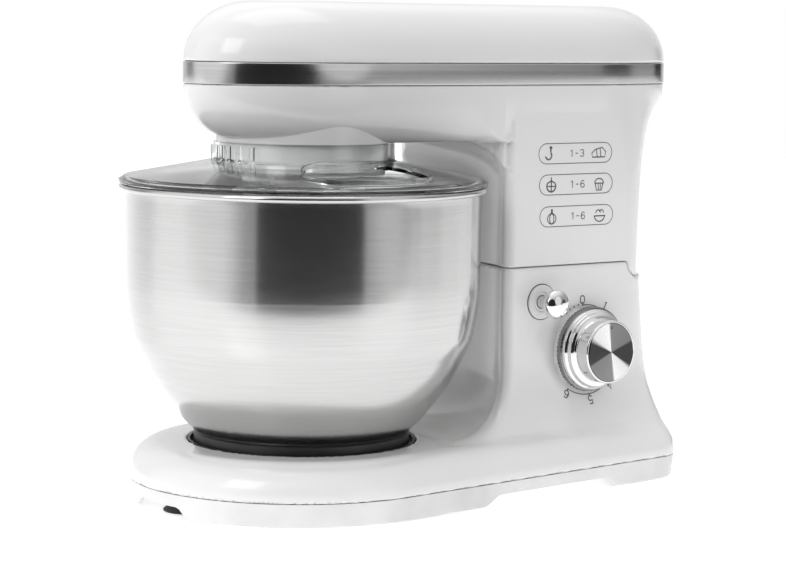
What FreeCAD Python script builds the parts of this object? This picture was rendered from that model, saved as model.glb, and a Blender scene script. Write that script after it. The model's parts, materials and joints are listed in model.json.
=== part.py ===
import FreeCAD, Part
import math
import os

# Tilt-head stand mixer, millimetres, +Z up, standing on z = 0.
# While modelling, x is measured from the bowl's axis and grows towards the rear column.
# On saving, every shape moves by BOWL_X, which puts the origin under the middle of the machine.
# The control side is -Y.

Vec = FreeCAD.Vector
X_DIR = Vec(1, 0, 0)
Y_DIR = Vec(0, 1, 0)
Z_DIR = Vec(0, 0, 1)

# ---- base, seen from above: a round front, sides that close in, a flat rear ----
BASE_FRONT_R = 106.0
BASE_FRONT_X = -3.8
BASE_TAPER_DEG = 5.66
BASE_REAR_X = 260.0
BASE_CORNER_R = 24.0
BASE_TOP_Z = 38.0
BASE_SEAM_Z = 15.5
BASE_SHOULDER_R = 20.0
SKIRT_DRAFT = 3.0
ARCH_H = 6.5
TRAY_FLOOR_Z = 6.5

# ---- column ----
COLUMN_HALF_W = 58.0
COLUMN_REAR_X = 241.5
COLUMN_CORNER_R = 21.0
COLUMN_FRONT_R = 129.6
COLUMN_FOOT_R = 38.0
SEAM_Z = 144.0
# height, share of the base's extra width at the sides, share of its extra length at the rear
COLUMN_FLARE = ((20.0, 0.86, 0.90), (30.0, 0.72, 0.88), (38.0, 0.52, 0.84), (48.0, 0.30, 0.75),
                (60.0, 0.14, 0.62), (75.0, 0.05, 0.47), (95.0, 0.01, 0.33), (120.0, 0.0, 0.19),
                (144.0, 0.0, 0.05))

# ---- head ----
HEAD_HALF_W = 58.0
HEAD_FRONT_C = 10.0
HEAD_REAR_C = 193.0
HEAD_FRONT_SEMI = 92.0
HEAD_REAR_SEMI = 95.5
BAND_Z0 = 261.1
BAND_Z1 = 274.6
HEAD_TOP_Z = 311.8
HEAD_BOTTOM_Z = 225.0
HEAD_END_ROUND = 44.0
HEAD_TOP_SIDE_ROUND = 36.0
HEAD_LOWER_SIDE_ROUND = 20.0
# height, share of the way from the column's outline to the head's outline
HEAD_FLARE = ((144.0, 0.0), (183.0, 0.06), (210.0, 0.15), (230.0, 0.32), (243.0, 0.62),
              (251.0, 0.85), (261.1, 1.0))

# ---- walls and clearances ----
WALL = 2.5
PART_GAP = 0.4
SEAM_GAP = 0.4
SHAFT_FIT = 0.03
LOBE_END_IN = 0.15
SCREW_R = 1.6
SCREW_BORE_R = SCREW_R + 0.05

# ---- hinge ----
HINGE_X = 231.5
HINGE_Z = SEAM_Z
HINGE_LOBE_R = 10.0
HINGE_PIN_R = 4.0
HINGE_PIN_HALF = 46.0
HINGE_GAP = 0.6
EAR_Y = 26.0
EAR_T = 5.0
EAR_R = 8.5

# ---- bowl and its foot ----
BOWL_BEAD_Z = 196.3
BOWL_BEAD_R = 2.2
BOWL_R = 111.4
BOWL_WALL = 1.0
BOWL_FOOT_R = 68.0
BOWL_FOOT_GAP = 0.3
BOWL_FLOOR_Z = 43.2
SEAT_R = 72.0
SEAT_Z = 34.0
BOWL_FOOT_Z0 = SEAT_Z + BOWL_FOOT_GAP

# ---- lid ----
LID_Z = 198.9
LID_R = 115.5
LID_T = 2.2
LID_CONE_Z0 = 203.4
LID_CONE_Z1 = 213.4
LID_COLLAR_RI = 54.2
LID_COLLAR_Z1 = HEAD_BOTTOM_Z - PART_GAP
CHUTE_ANGLE = -97.0
CHUTE_HALF_ANGLE = 22.0
CHUTE_R0 = 63.0
CHUTE_R1 = 104.0
CHUTE_WALL = 2.0

# ---- gear train ----
RING_MODULE = 1.5
RING_TEETH = 62
PLANET_TEETH = 16
SPUR_MODULE = 1.5
SPUR_TEETH = 48
PINION_TEETH = 12
WORM_MODULE = 1.25
WORM_WHEEL_TEETH = 32
WORM_R = 6.0
HUB_R = 55.0
HUB_NECK_R = 52.5
RING_OUTER_R = 50.0
DRIVE_SHAFT_R = 6.0
MOTOR_Z = 270.0
MOTOR_SHAFT_R = 4.0
MOTOR_R = 32.0
ROTOR_R = 19.5

PLANET_OFFSET = RING_MODULE * (RING_TEETH - PLANET_TEETH) / 2.0
SPUR_DISTANCE = SPUR_MODULE * (SPUR_TEETH + PINION_TEETH) / 2.0
WHEEL_R = WORM_MODULE * WORM_WHEEL_TEETH / 2.0
LAY_Y = -(WHEEL_R + WORM_R)
LAY_X = math.sqrt(SPUR_DISTANCE ** 2 - LAY_Y ** 2)

# ---- controls ----
KNOB_X = 184.5
KNOB_Z = 89.0
KNOB_FACE_Y = -85.0
KNOB_SKIRT_R = 28.0
KNOB_GRIP_R = 20.6
DIAL_Y = -62.4
LOCK_X = 147.1
LOCK_Z = 121.3
LOCK_TRAVEL = 5.0
INLET_X = 258.0
INLET_Z = 46.0
INLET_R = 5.9
INLET_FLANGE_R = 9.0
INLET_BORE_R = 3.6

# ---- drawing of the lofted shapes ----
COLUMN_START_X = 40.0
ROUND_STEPS = 7
UPPER_START_X = 105.0
UPPER_STEP_IN = 0.4

# ---- tray, feet and rim arches ----
ARCH_FRONT_HALF_DEG = 14.0
ARCH_SIDE_X0 = 78.0
ARCH_SIDE_X1 = 195.0
TRAY_RIM_Z = 0.8
FOOT_PLACES = ((-83.0, 0.0), (34.0, -78.0), (34.0, 78.0), (226.0, -58.0), (226.0, 58.0))
FOOT_R = 16.0
FOOT_NECK_R = 7.0
TRAY_SCREW_PLACES = ((-50.0, -70.0), (-50.0, 70.0), (80.0, -76.0), (80.0, 76.0),
                     (205.0, -66.0), (205.0, 66.0), (118.0, 0.0))

# ---- head's inner fixings ----
CHASSIS_Z0 = 233.0
CHASSIS_Z1 = 236.5
POST_PLACES = ((90.0, -18.0), (90.0, 18.0))
LEDGE_PLACES = ((190.0, -1), (190.0, 1))
HOUSING_HOLE_R = HUB_NECK_R + 0.4
GEARBOX_PILLARS = ((-42.0, -14.0), (-42.0, 14.0), (66.0, -28.0), (60.0, 34.0))

# ---- lid ribs and bowl wall ----
LID_RIB_DEG = (162.0, 172.0, 182.0, 192.0, 202.0, 342.0, 352.0, 2.0, 12.0, 22.0)
BOWL_PROFILE = ((BOWL_R, 135.0), (110.7, 126.0), (109.2, 115.0), (106.7, 102.5), (102.0, 91.9),
                (96.7, 81.2), (89.3, 69.0), (81.7, 59.3), (75.0, 51.0), (67.0, BOWL_FLOOR_Z))

# ---- gear teeth, motor and beater ----
TOOTH_SHARE = 0.44
RING_SHARE = 0.42
STATOR_X0 = 96.0
STATOR_X1 = 148.0
FAN_X = 186.0
WORM_X0 = 24.0
WORM_X1 = 50.0
BALL_R = 11.0
SPINDLE_Z0 = 168.0
BEATER_T = 9.0
BEATER_RIM = 10.0

# ---- knob and switch ----
KNOB_BACK_Y = DIAL_Y - 0.4
DIAL_NECK = 55.0

HEAD_REAR_REACH = HEAD_REAR_C + HEAD_REAR_SEMI
BOWL_X = (LID_R - HEAD_REAR_REACH) / 2.0


# ======================= general helpers =======================

def save(name, shape):
    """Write one sub-part, moved to the machine's own frame."""
    moved = shape.copy()
    moved.translate(Vec(BOWL_X, 0, 0))
    if not moved.isValid():
        print("not valid:", name)
    moved.exportStep("parts/" + name + ".step")
    box = moved.BoundBox
    print("%-22s solids %2d  x %.1f..%.1f  y %.1f..%.1f  z %.1f..%.1f" % (
        name, len(moved.Solids), box.XMin, box.XMax, box.YMin, box.YMax, box.ZMin, box.ZMax))


def box(x0, x1, y0, y1, z0, z1):
    return Part.makeBox(x1 - x0, y1 - y0, z1 - z0, Vec(x0, y0, z0))


def rod_x(radius, x0, x1, y, z):
    return Part.makeCylinder(radius, x1 - x0, Vec(x0, y, z), X_DIR)


def rod_y(radius, y0, y1, x, z):
    return Part.makeCylinder(radius, y1 - y0, Vec(x, y0, z), Y_DIR)


def rod_z(radius, z0, z1, x=0.0, y=0.0):
    return Part.makeCylinder(radius, z1 - z0, Vec(x, y, z0), Z_DIR)


def tube_x(outer, inner, x0, x1, y, z):
    return rod_x(outer, x0, x1, y, z).cut(rod_x(inner, x0 - 1, x1 + 1, y, z))


def tube_y(outer, inner, y0, y1, x, z):
    return rod_y(outer, y0, y1, x, z).cut(rod_y(inner, y0 - 1, y1 + 1, x, z))


def tube_z(outer, inner, z0, z1, x=0.0, y=0.0):
    return rod_z(outer, z0, z1, x, y).cut(rod_z(inner, z0 - 1, z1 + 1, x, y))


def join(shapes):
    """One solid from shapes that touch or overlap."""
    whole = shapes[0]
    if len(shapes) > 1:
        whole = whole.multiFuse(shapes[1:])
    return whole.removeSplitter()


def turned(points, x=0.0, y=0.0):
    """Solid of revolution about a vertical axis from (radius, height) points."""
    corners = [Vec(x + r, y, z) for r, z in points]
    wire = Part.makePolygon(corners + [corners[0]])
    return Part.Face(wire).revolve(Vec(x, y, 0), Z_DIR, 360)


def turned_y(points, x, z):
    """Solid of revolution about an axis along Y from (radius, y) points."""
    corners = [Vec(x + r, y, z) for r, y in points]
    wire = Part.makePolygon(corners + [corners[0]])
    return Part.Face(wire).revolve(Vec(x, 0, z), Y_DIR, 360)


def screw(x, y, z_head, length, radius=SCREW_R, head_r=3.0, head_h=2.0, up=False):
    """Pan-head screw with a cross recess; it points down, or up for screws driven from below."""
    shank = rod_z(radius, -length, 0.0)
    head = rod_z(head_r, 0.0, head_h)
    slot = box(-head_r * 0.6, head_r * 0.6, -0.4, 0.4, head_h - 0.8, head_h + 1)
    cross = box(-0.4, 0.4, -head_r * 0.6, head_r * 0.6, head_h - 0.8, head_h + 1)
    body = join([shank, head]).cut(slot).cut(cross)
    if up:
        body.rotate(Vec(0, 0, 0), X_DIR, 180)
    body.translate(Vec(x, y, z_head))
    return body


# ======================= outlines =======================

def base_half_width(x):
    taper = math.radians(BASE_TAPER_DEG)
    return (BASE_FRONT_R - (x - BASE_FRONT_X) * math.sin(taper)) / math.cos(taper)


def base_wire(inset, z):
    """Closed outline of the base, every side moved in by inset."""
    taper = math.radians(BASE_TAPER_DEG)
    front_r = BASE_FRONT_R - inset
    corner_r = BASE_CORNER_R - inset
    rear_x = BASE_REAR_X - inset
    nx, ny = math.sin(taper), math.cos(taper)
    side_c = nx * BASE_FRONT_X + front_r
    cx = rear_x - corner_r
    cy = (side_c - corner_r - cx * nx) / ny
    mid = math.radians(90.0 - BASE_TAPER_DEG) / 2.0
    start = Vec(BASE_FRONT_X + front_r * nx, front_r * ny, z)
    tangent = Vec(cx + corner_r * nx, cy + corner_r * ny, z)
    corner = Vec(cx + corner_r * math.cos(mid), cy + corner_r * math.sin(mid), z)
    rear = Vec(rear_x, cy, z)

    def mirror(p):
        return Vec(p.x, -p.y, p.z)

    front_arc = Part.Arc(start, Vec(BASE_FRONT_X - front_r, 0, z), mirror(start)).toShape()
    edges = [
        front_arc,
        Part.makeLine(mirror(start), mirror(tangent)),
        Part.Arc(mirror(tangent), mirror(corner), mirror(rear)).toShape(),
        Part.makeLine(mirror(rear), rear),
        Part.Arc(rear, corner, tangent).toShape(),
        Part.makeLine(tangent, start),
    ]
    return Part.Wire(edges)


def base_slab(inset, z0, z1, shoulder):
    """The base's plan drawn up from z0 to z1, with its top edge rounded."""
    slab = Part.Face(base_wire(inset, z0)).extrude(Vec(0, 0, z1 - z0))
    if shoulder <= 0:
        return slab
    top_edges = [e for e in slab.Edges if abs(e.BoundBox.ZMin - z1) < 1e-4]
    return slab.makeFillet(shoulder, top_edges)


def column_wire(z, side, rear, inset):
    """Column outline at one height, between the seam's outline and the base's outline."""
    half_front = COLUMN_HALF_W + side * (base_half_width(COLUMN_START_X) - COLUMN_HALF_W) - inset
    half_rear = COLUMN_HALF_W + side * (base_half_width(BASE_REAR_X) - COLUMN_HALF_W) - inset
    rear_x = COLUMN_REAR_X + rear * (BASE_REAR_X - COLUMN_REAR_X) - inset
    corner_r = COLUMN_CORNER_R + rear * (BASE_CORNER_R - COLUMN_CORNER_R) - inset
    slope = math.atan2(half_front - half_rear, rear_x - COLUMN_START_X)
    nx, ny = math.sin(slope), math.cos(slope)
    cx = rear_x - corner_r
    cy = (nx * COLUMN_START_X + ny * half_front - corner_r - cx * nx) / ny
    mid = (math.pi / 2 - slope) / 2
    front = Vec(COLUMN_START_X, half_front, z)
    tangent = Vec(cx + corner_r * nx, cy + corner_r * ny, z)
    corner = Vec(cx + corner_r * math.cos(mid), cy + corner_r * math.sin(mid), z)
    back = Vec(rear_x, cy, z)

    def mirror(p):
        return Vec(p.x, -p.y, p.z)

    edges = [
        Part.makeLine(mirror(front), mirror(tangent)),
        Part.Arc(mirror(tangent), mirror(corner), mirror(back)).toShape(),
        Part.makeLine(mirror(back), back),
        Part.Arc(back, corner, tangent).toShape(),
        Part.makeLine(tangent, front),
        Part.makeLine(front, mirror(front)),
    ]
    return Part.Wire(edges)


def bowl_recess(grow, z_flat, z_top):
    """Space that the column leaves for the bowl: a wall round the bowl and a hollow foot curve."""
    wall_r = COLUMN_FRONT_R + grow
    foot_r = COLUMN_FOOT_R
    floor = z_flat - grow
    centre = Vec(wall_r - foot_r, 0, floor + foot_r)
    bend = math.radians(-45)
    middle = Vec(centre.x + foot_r * math.cos(bend), 0, centre.z + foot_r * math.sin(bend))
    low = Vec(wall_r - foot_r, 0, floor)
    side = Vec(wall_r, 0, floor + foot_r)
    edges = [
        Part.makeLine(Vec(0, 0, floor), low),
        Part.Arc(low, middle, side).toShape(),
        Part.makeLine(side, Vec(wall_r, 0, z_top)),
        Part.makeLine(Vec(wall_r, 0, z_top), Vec(0, 0, z_top)),
        Part.makeLine(Vec(0, 0, z_top), Vec(0, 0, floor)),
    ]
    return Part.Face(Part.Wire(edges)).revolve(Vec(0, 0, 0), Z_DIR, 360)


def lower_column(inset, z_top):
    """The column below the seam, as a solid."""
    wires = [column_wire(z, side, rear, inset) for z, side, rear in COLUMN_FLARE]
    column = Part.makeLoft(wires, True, False)
    column = column.cut(bowl_recess(inset, BASE_TOP_Z - 0.3, SEAM_Z + 20))
    if z_top < SEAM_Z:
        column = column.cut(box(0, 300, -150, 150, z_top, SEAM_Z + 1))
    return column


def pill_wire(z, end_in, side_in):
    """Head outline: straight sides and half-ellipse ends, drawn in at the ends and the sides."""
    half = HEAD_HALF_W - side_in
    front = Part.Ellipse(Vec(HEAD_FRONT_C, 0, z), HEAD_FRONT_SEMI - end_in, half)
    rear = Part.Ellipse(Vec(HEAD_REAR_C, 0, z), HEAD_REAR_SEMI - end_in, half)
    edges = [
        Part.makeLine(Vec(HEAD_FRONT_C, -half, z), Vec(HEAD_REAR_C, -half, z)),
        Part.ArcOfEllipse(rear, -math.pi / 2, math.pi / 2).toShape(),
        Part.makeLine(Vec(HEAD_REAR_C, half, z), Vec(HEAD_FRONT_C, half, z)),
        Part.ArcOfEllipse(front, math.pi / 2, 3 * math.pi / 2).toShape(),
    ]
    return Part.Wire(edges)


def head_pod(z_edge, z_end, side_round, inset):
    """Half of the head, rounded like a quarter ellipse from its full outline to its flat."""
    wires = []
    for step in range(ROUND_STEPS + 1):
        angle = math.radians(90.0 * step / ROUND_STEPS)
        share = 1.0 - math.cos(angle)
        z = z_edge + (z_end - z_edge) * math.sin(angle)
        wires.append(pill_wire(z, inset + share * (HEAD_END_ROUND - inset),
                               inset + share * (side_round - inset)))
    return Part.makeLoft(wires, True, False)


def upper_wire(z, share, inset):
    """Outline of the head's rear from the seam up, from a rounded box to a half ellipse."""
    half = COLUMN_HALF_W - UPPER_STEP_IN - inset
    rear_x = COLUMN_REAR_X + share * (HEAD_REAR_REACH - UPPER_STEP_IN - COLUMN_REAR_X) - inset
    semi_x = COLUMN_CORNER_R + share * (HEAD_REAR_SEMI - COLUMN_CORNER_R) - inset
    semi_y = COLUMN_CORNER_R + share * (HEAD_HALF_W - 1.5 - COLUMN_CORNER_R) - inset
    cx = rear_x - semi_x
    cy = half - semi_y
    near = Part.Ellipse(Vec(cx, -cy, z), max(semi_x, semi_y), semi_y)
    far = Part.Ellipse(Vec(cx, cy, z), max(semi_x, semi_y), semi_y)
    edges = [
        Part.makeLine(Vec(UPPER_START_X, -half, z), Vec(cx, -half, z)),
        Part.ArcOfEllipse(near, -math.pi / 2, 0).toShape(),
        Part.makeLine(Vec(rear_x, -cy, z), Vec(rear_x, cy, z)),
        Part.ArcOfEllipse(far, 0, math.pi / 2).toShape(),
        Part.makeLine(Vec(cx, half, z), Vec(UPPER_START_X, half, z)),
        Part.makeLine(Vec(UPPER_START_X, half, z), Vec(UPPER_START_X, -half, z)),
    ]
    return Part.Wire(edges)


def upper_column(inset):
    wires = [upper_wire(z, share, inset) for z, share in HEAD_FLARE]
    column = Part.makeLoft(wires, True, False)
    return column.cut(rod_z(COLUMN_FRONT_R + inset, SEAM_Z - 10, BAND_Z0 + 10))


# ======================= gears =======================

def gear_wire(teeth, module, tip, root, share, z, turn=0.0):
    """Closed outline of a gear with straight-sided teeth; share is a tooth's part of the pitch."""
    pitch_r = module * teeth / 2.0
    step = 2 * math.pi / teeth
    half_pitch = step * share / 2
    slope = math.tan(math.radians(20))
    half_tip = max(half_pitch - (tip - pitch_r) * slope / pitch_r, step * 0.06)
    half_root = half_pitch + (pitch_r - root) * slope / pitch_r
    points = []
    for n in range(teeth):
        middle = turn + n * step
        for radius, angle in ((root, -half_root), (pitch_r, -half_pitch), (tip, -half_tip),
                              (tip, half_tip), (pitch_r, half_pitch), (root, half_root)):
            a = middle + angle
            points.append(Vec(radius * math.cos(a), radius * math.sin(a), z))
    return Part.makePolygon(points + [points[0]])


def spur(teeth, module, z0, z1, bore, turn=0.0):
    pitch_r = module * teeth / 2.0
    wire = gear_wire(teeth, module, pitch_r + 0.85 * module, pitch_r - 1.15 * module,
                     TOOTH_SHARE, z0, turn)
    body = Part.Face(wire).extrude(Vec(0, 0, z1 - z0))
    return body.cut(rod_z(bore, z0 - 1, z1 + 1))


# ======================= base parts =======================


def rim_arches():
    """Openings under the rim, at the front and at the middle of each side."""
    reach = BASE_FRONT_R + 20
    half = math.radians(ARCH_FRONT_HALF_DEG)
    wedge = Part.makePolygon([Vec(BASE_FRONT_X, 0, 0),
                              Vec(BASE_FRONT_X - reach, -reach * math.tan(half), 0),
                              Vec(BASE_FRONT_X - reach, reach * math.tan(half), 0),
                              Vec(BASE_FRONT_X, 0, 0)])
    front = Part.Face(wedge).extrude(Vec(0, 0, ARCH_H))
    sides = box(ARCH_SIDE_X0, ARCH_SIDE_X1, -150, 150, 0, ARCH_H)
    return front.fuse(sides)


def make_base_tray():
    """Bottom tray: a drafted rim with arches and a ribbed floor that carries the feet."""
    outer = Part.makeLoft([base_wire(SKIRT_DRAFT, TRAY_RIM_Z),
                           base_wire(0.6, BASE_SEAM_Z - SEAM_GAP)], True, True)
    pocket = Part.Face(base_wire(SKIRT_DRAFT + WALL, TRAY_FLOOR_Z + WALL)).extrude(Vec(0, 0, 20))
    under = Part.Face(base_wire(SKIRT_DRAFT + WALL, -1)).extrude(Vec(0, 0, TRAY_FLOOR_Z + 1))
    tray = outer.cut(pocket).cut(under).cut(rim_arches())
    ribs = []
    for n in range(-2, 3):
        ribs.append(box(-80, 170, n * 26 - 0.8, n * 26 + 0.8, TRAY_FLOOR_Z + 1, TRAY_FLOOR_Z + 6))
    ribs = [r.common(Part.Face(base_wire(SKIRT_DRAFT + 1, 0)).extrude(Vec(0, 0, 30))) for r in ribs]
    tray = join([tray] + ribs)
    for x, y in FOOT_PLACES:
        tray = tray.cut(rod_z(FOOT_NECK_R + 0.3, 0, 30, x, y))
        tray = tray.cut(rod_z(FOOT_NECK_R + 3.2, TRAY_FLOOR_Z + WALL, 30, x, y))
    for x, y in TRAY_SCREW_PLACES:
        tray = tray.fuse(rod_z(4.5, TRAY_FLOOR_Z, TRAY_FLOOR_Z + 7, x, y))
        tray = tray.cut(rod_z(1.9, 0, 30, x, y))
    for n in range(6):
        x = 60 + n * 9
        tray = tray.cut(box(x, x + 3.2, -20, 20, 0, 30))
    return tray.removeSplitter()


def make_foot(x, y):
    """Suction foot: a thin cup on a neck with a button that snaps above the tray's floor."""
    top = TRAY_FLOOR_Z + WALL
    profile = [(0, 2.4), (FOOT_R - 4, 1.2), (FOOT_R - 1.6, 0.0), (FOOT_R, 0.0),
               (FOOT_R + 0.3, 0.8), (FOOT_R - 3, 3.6),
               (FOOT_NECK_R + 3, TRAY_FLOOR_Z - 0.1), (FOOT_NECK_R, TRAY_FLOOR_Z - 0.1),
               (FOOT_NECK_R, top + 0.1), (FOOT_NECK_R + 2.5, top + 0.1),
               (FOOT_NECK_R + 1.5, top + 2.6), (2.2, top + 2.6), (2.2, top - 1.5), (0, top - 1.5)]
    return turned(profile, x, y)


def make_base_housing():
    """Lower casing: the bowl's platform and the column up to the seam, open underneath."""
    outer = join([base_slab(0.0, BASE_SEAM_Z, BASE_TOP_Z, BASE_SHOULDER_R), lower_column(0.0, SEAM_Z)])
    dial_boss = rod_y(KNOB_SKIRT_R - 2.0, DIAL_Y, -50.0, KNOB_X, KNOB_Z)
    inlet_boss = rod_x(INLET_FLANGE_R + 1.5, INLET_X - 12.0, INLET_X, 0, INLET_Z)
    outer = join([outer, dial_boss, inlet_boss])
    slab_in = base_slab(WALL, BASE_SEAM_Z - 1, BASE_TOP_Z - WALL, BASE_SHOULDER_R - WALL)
    hollow = join([slab_in, lower_column(WALL, SEAM_Z - WALL)])
    housing = outer.cut(hollow)
    lobe_r = HINGE_LOBE_R + HINGE_GAP
    trough = rod_y(lobe_r + WALL, -COLUMN_HALF_W - 2, COLUMN_HALF_W + 2, HINGE_X, HINGE_Z)
    trough = trough.common(outer)
    housing = housing.fuse(trough)
    housing = housing.cut(rod_y(lobe_r, -80, 80, HINGE_X, HINGE_Z))
    housing = housing.cut(box(HINGE_X, 280, -80, 80, HINGE_Z - 9.2, HINGE_Z + 10))
    for side in (-1, 1):
        y = side * EAR_Y
        half = EAR_T / 2 + HINGE_GAP
        housing = housing.cut(box(HINGE_X - EAR_R - 1, HINGE_X + EAR_R + 1, y - half, y + half,
                                  HINGE_Z - 20, HINGE_Z + 1))
    housing = housing.cut(box(142, 163, -10, 10, SEAM_Z - 10, SEAM_Z + 1))
    housing = housing.cut(box(186, 206, -12, 12, SEAM_Z - 10, SEAM_Z + 1))
    housing = housing.cut(rod_z(SEAT_R + PART_GAP, SEAT_Z - 1.6, BASE_TOP_Z + 1))
    seat_floor = tube_z(SEAT_R + 6, SEAT_R - 14, SEAT_Z - 1.6 - WALL, SEAT_Z - 1.6)
    seat_wall = tube_z(SEAT_R + PART_GAP + WALL, SEAT_R + PART_GAP, SEAT_Z - 4, BASE_TOP_Z - 1)
    housing = join([housing, seat_floor, seat_wall])
    housing = housing.cut(rod_y(5.6, -80, -40, LOCK_X, LOCK_Z))
    housing = housing.cut(rod_y(4.6, -80, -40, KNOB_X, KNOB_Z))
    housing = housing.cut(rod_x(INLET_R + 0.1, 230, 270, 0, INLET_Z))
    posts = []
    for x, y in TRAY_SCREW_PLACES:
        post = rod_z(4.0, TRAY_FLOOR_Z + 7 + 0.1, HINGE_Z - 30, x, y)
        posts.append(post.common(outer.fuse(rod_z(10, 0, 30, x, y))))
    housing = join([housing] + posts)
    for x, y in TRAY_SCREW_PLACES:
        housing = housing.cut(rod_z(SCREW_BORE_R, 0, TRAY_FLOOR_Z + 22, x, y))
    return housing


def make_bowl_seat():
    """Plate under the bowl with three tabs that hold the bowl's foot ring down."""
    plate = turned([(14, SEAT_Z - 1.5), (SEAT_R, SEAT_Z - 1.5), (SEAT_R, SEAT_Z), (14, SEAT_Z)])
    ring = tube_z(SEAT_R, SEAT_R - 1.6, SEAT_Z - 0.2, BASE_TOP_Z - 0.2)
    tabs = []
    for n in range(3):
        tab = tube_z(58.6, 54.6, SEAT_Z - 0.2, SEAT_Z + 8.4)
        lip = tube_z(62.0, 54.6, SEAT_Z + 6.9, SEAT_Z + 8.4)
        piece = join([tab, lip]).common(sector(70, 24.0, 120.0 * n, SEAT_Z - 1, SEAT_Z + 12))
        tabs.append(piece)
    return join([plate, ring] + tabs)


def sector(radius, span_deg, middle_deg, z0, z1):
    """Wedge of a disc, to cut repeats round the bowl's axis."""
    wedge = Part.makeCylinder(radius, z1 - z0, Vec(0, 0, z0), Z_DIR, span_deg)
    wedge.rotate(Vec(0, 0, 0), Z_DIR, middle_deg - span_deg / 2.0)
    return wedge


def make_hinge_bracket():
    """Bent steel bracket: a foot, two legs and the two ears that carry the hinge pin."""
    foot = box(HINGE_X - 46, HINGE_X - 2, -EAR_Y - 6, EAR_Y + 6, 118, 121)
    parts = [foot]
    for side in (-1, 1):
        y0 = side * EAR_Y - EAR_T / 2
        y1 = side * EAR_Y + EAR_T / 2
        parts.append(rod_y(EAR_R, y0, y1, HINGE_X, HINGE_Z))
        parts.append(box(HINGE_X - 6, HINGE_X + 5, y0, y1, 119, HINGE_Z))
        parts.append(box(HINGE_X - 46, HINGE_X, y0, y1, 118, 124))
    bracket = join(parts)
    bracket = bracket.cut(rod_y(HINGE_PIN_R + SHAFT_FIT, -60, 60, HINGE_X, HINGE_Z))
    for x in (HINGE_X - 40, HINGE_X - 12):
        for y in (-14, 14):
            bracket = bracket.cut(rod_z(2.2, 110, 130, x, y))
    return bracket


def make_upright_frame():
    """Steel upright: two channel legs from the tray to a top plate under the hinge bracket."""
    top = box(HINGE_X - 60, HINGE_X - 2, -EAR_Y - 8, EAR_Y + 8, 115, 118)
    legs = []
    for side in (-1, 1):
        y = side * (EAR_Y + 6)
        legs.append(box(HINGE_X - 50, HINGE_X - 24, y - 1, y + 1, TRAY_FLOOR_Z + WALL, 116))
        legs.append(box(HINGE_X - 50, HINGE_X - 48, min(y, y - side * 8), max(y, y - side * 8),
                        TRAY_FLOOR_Z + WALL, 116))
    frame = join([top] + legs)
    for x in (HINGE_X - 40, HINGE_X - 12):
        for y in (-14, 14):
            frame = frame.cut(rod_z(1.7, 110, 130, x, y))
    return frame


# ======================= head parts =======================

def make_head_top_cover():
    outer = head_pod(BAND_Z1, HEAD_TOP_Z, HEAD_TOP_SIDE_ROUND, 0.0)
    inner = head_pod(BAND_Z1 - 0.01, HEAD_TOP_Z - WALL, HEAD_TOP_SIDE_ROUND, WALL)
    return outer.cut(inner)


def make_trim_band():
    outer = Part.Face(pill_wire(BAND_Z0, -0.3, -0.3)).extrude(Vec(0, 0, BAND_Z1 - BAND_Z0))
    inner = Part.Face(pill_wire(BAND_Z0 - 1, WALL, WALL)).extrude(Vec(0, 0, BAND_Z1 - BAND_Z0 + 2))
    return outer.cut(inner)


def lower_pod(inset):
    return head_pod(BAND_Z0, HEAD_BOTTOM_Z + inset, HEAD_LOWER_SIDE_ROUND, inset)


def make_head_lower_housing():
    """Head's underside and the upper part of the column, with the hinge lobe at its rear."""
    outer = join([lower_pod(0.0), upper_column(0.0)])
    hollow = join([lower_pod(WALL), upper_column(WALL)])
    housing = outer.cut(hollow)
    seam_plan = Part.Face(upper_wire(SEAM_Z, 0.0, LOBE_END_IN))
    lobe_plan = seam_plan.extrude(Vec(0, 0, 40))
    lobe_plan.translate(Vec(0, 0, -20))
    lobe = rod_y(HINGE_LOBE_R, -COLUMN_HALF_W, COLUMN_HALF_W, HINGE_X, HINGE_Z).common(lobe_plan)
    front_half = box(0, HINGE_X - HINGE_LOBE_R + 0.01, -80, 80, SEAM_Z - 1, SEAM_Z + SEAM_GAP)
    housing = join([housing.cut(front_half), lobe])
    ledges = []
    for x, side in LEDGE_PLACES:
        y0 = min(side * 22, side * (COLUMN_HALF_W - 1.5))
        y1 = max(side * 22, side * (COLUMN_HALF_W - 1.5))
        ledges.append(box(x - 6, x + 6, y0, y1, CHASSIS_Z0 - 6, CHASSIS_Z0))
    posts = [rod_z(4.0, HEAD_BOTTOM_Z + 1, CHASSIS_Z0, x, y) for x, y in POST_PLACES]
    housing = join([housing] + posts + ledges)
    for side in (-1, 1):
        y = side * EAR_Y
        half = EAR_T / 2 + HINGE_GAP
        housing = housing.cut(rod_y(EAR_R + 2.5, y - half, y + half, HINGE_X, HINGE_Z))
    housing = housing.cut(rod_y(HINGE_PIN_R + SHAFT_FIT + 0.02, -HINGE_PIN_HALF - 0.5, 80,
                                HINGE_X, HINGE_Z))
    housing = housing.cut(rod_z(HOUSING_HOLE_R, 200, HEAD_BOTTOM_Z + 25))
    for x, y in POST_PLACES:
        housing = housing.cut(rod_z(SCREW_BORE_R, HEAD_BOTTOM_Z + 3, 260, x, y))
    for x, side in LEDGE_PLACES:
        housing = housing.cut(rod_z(SCREW_BORE_R, 200, 260, x, side * 26))
    return housing


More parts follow.
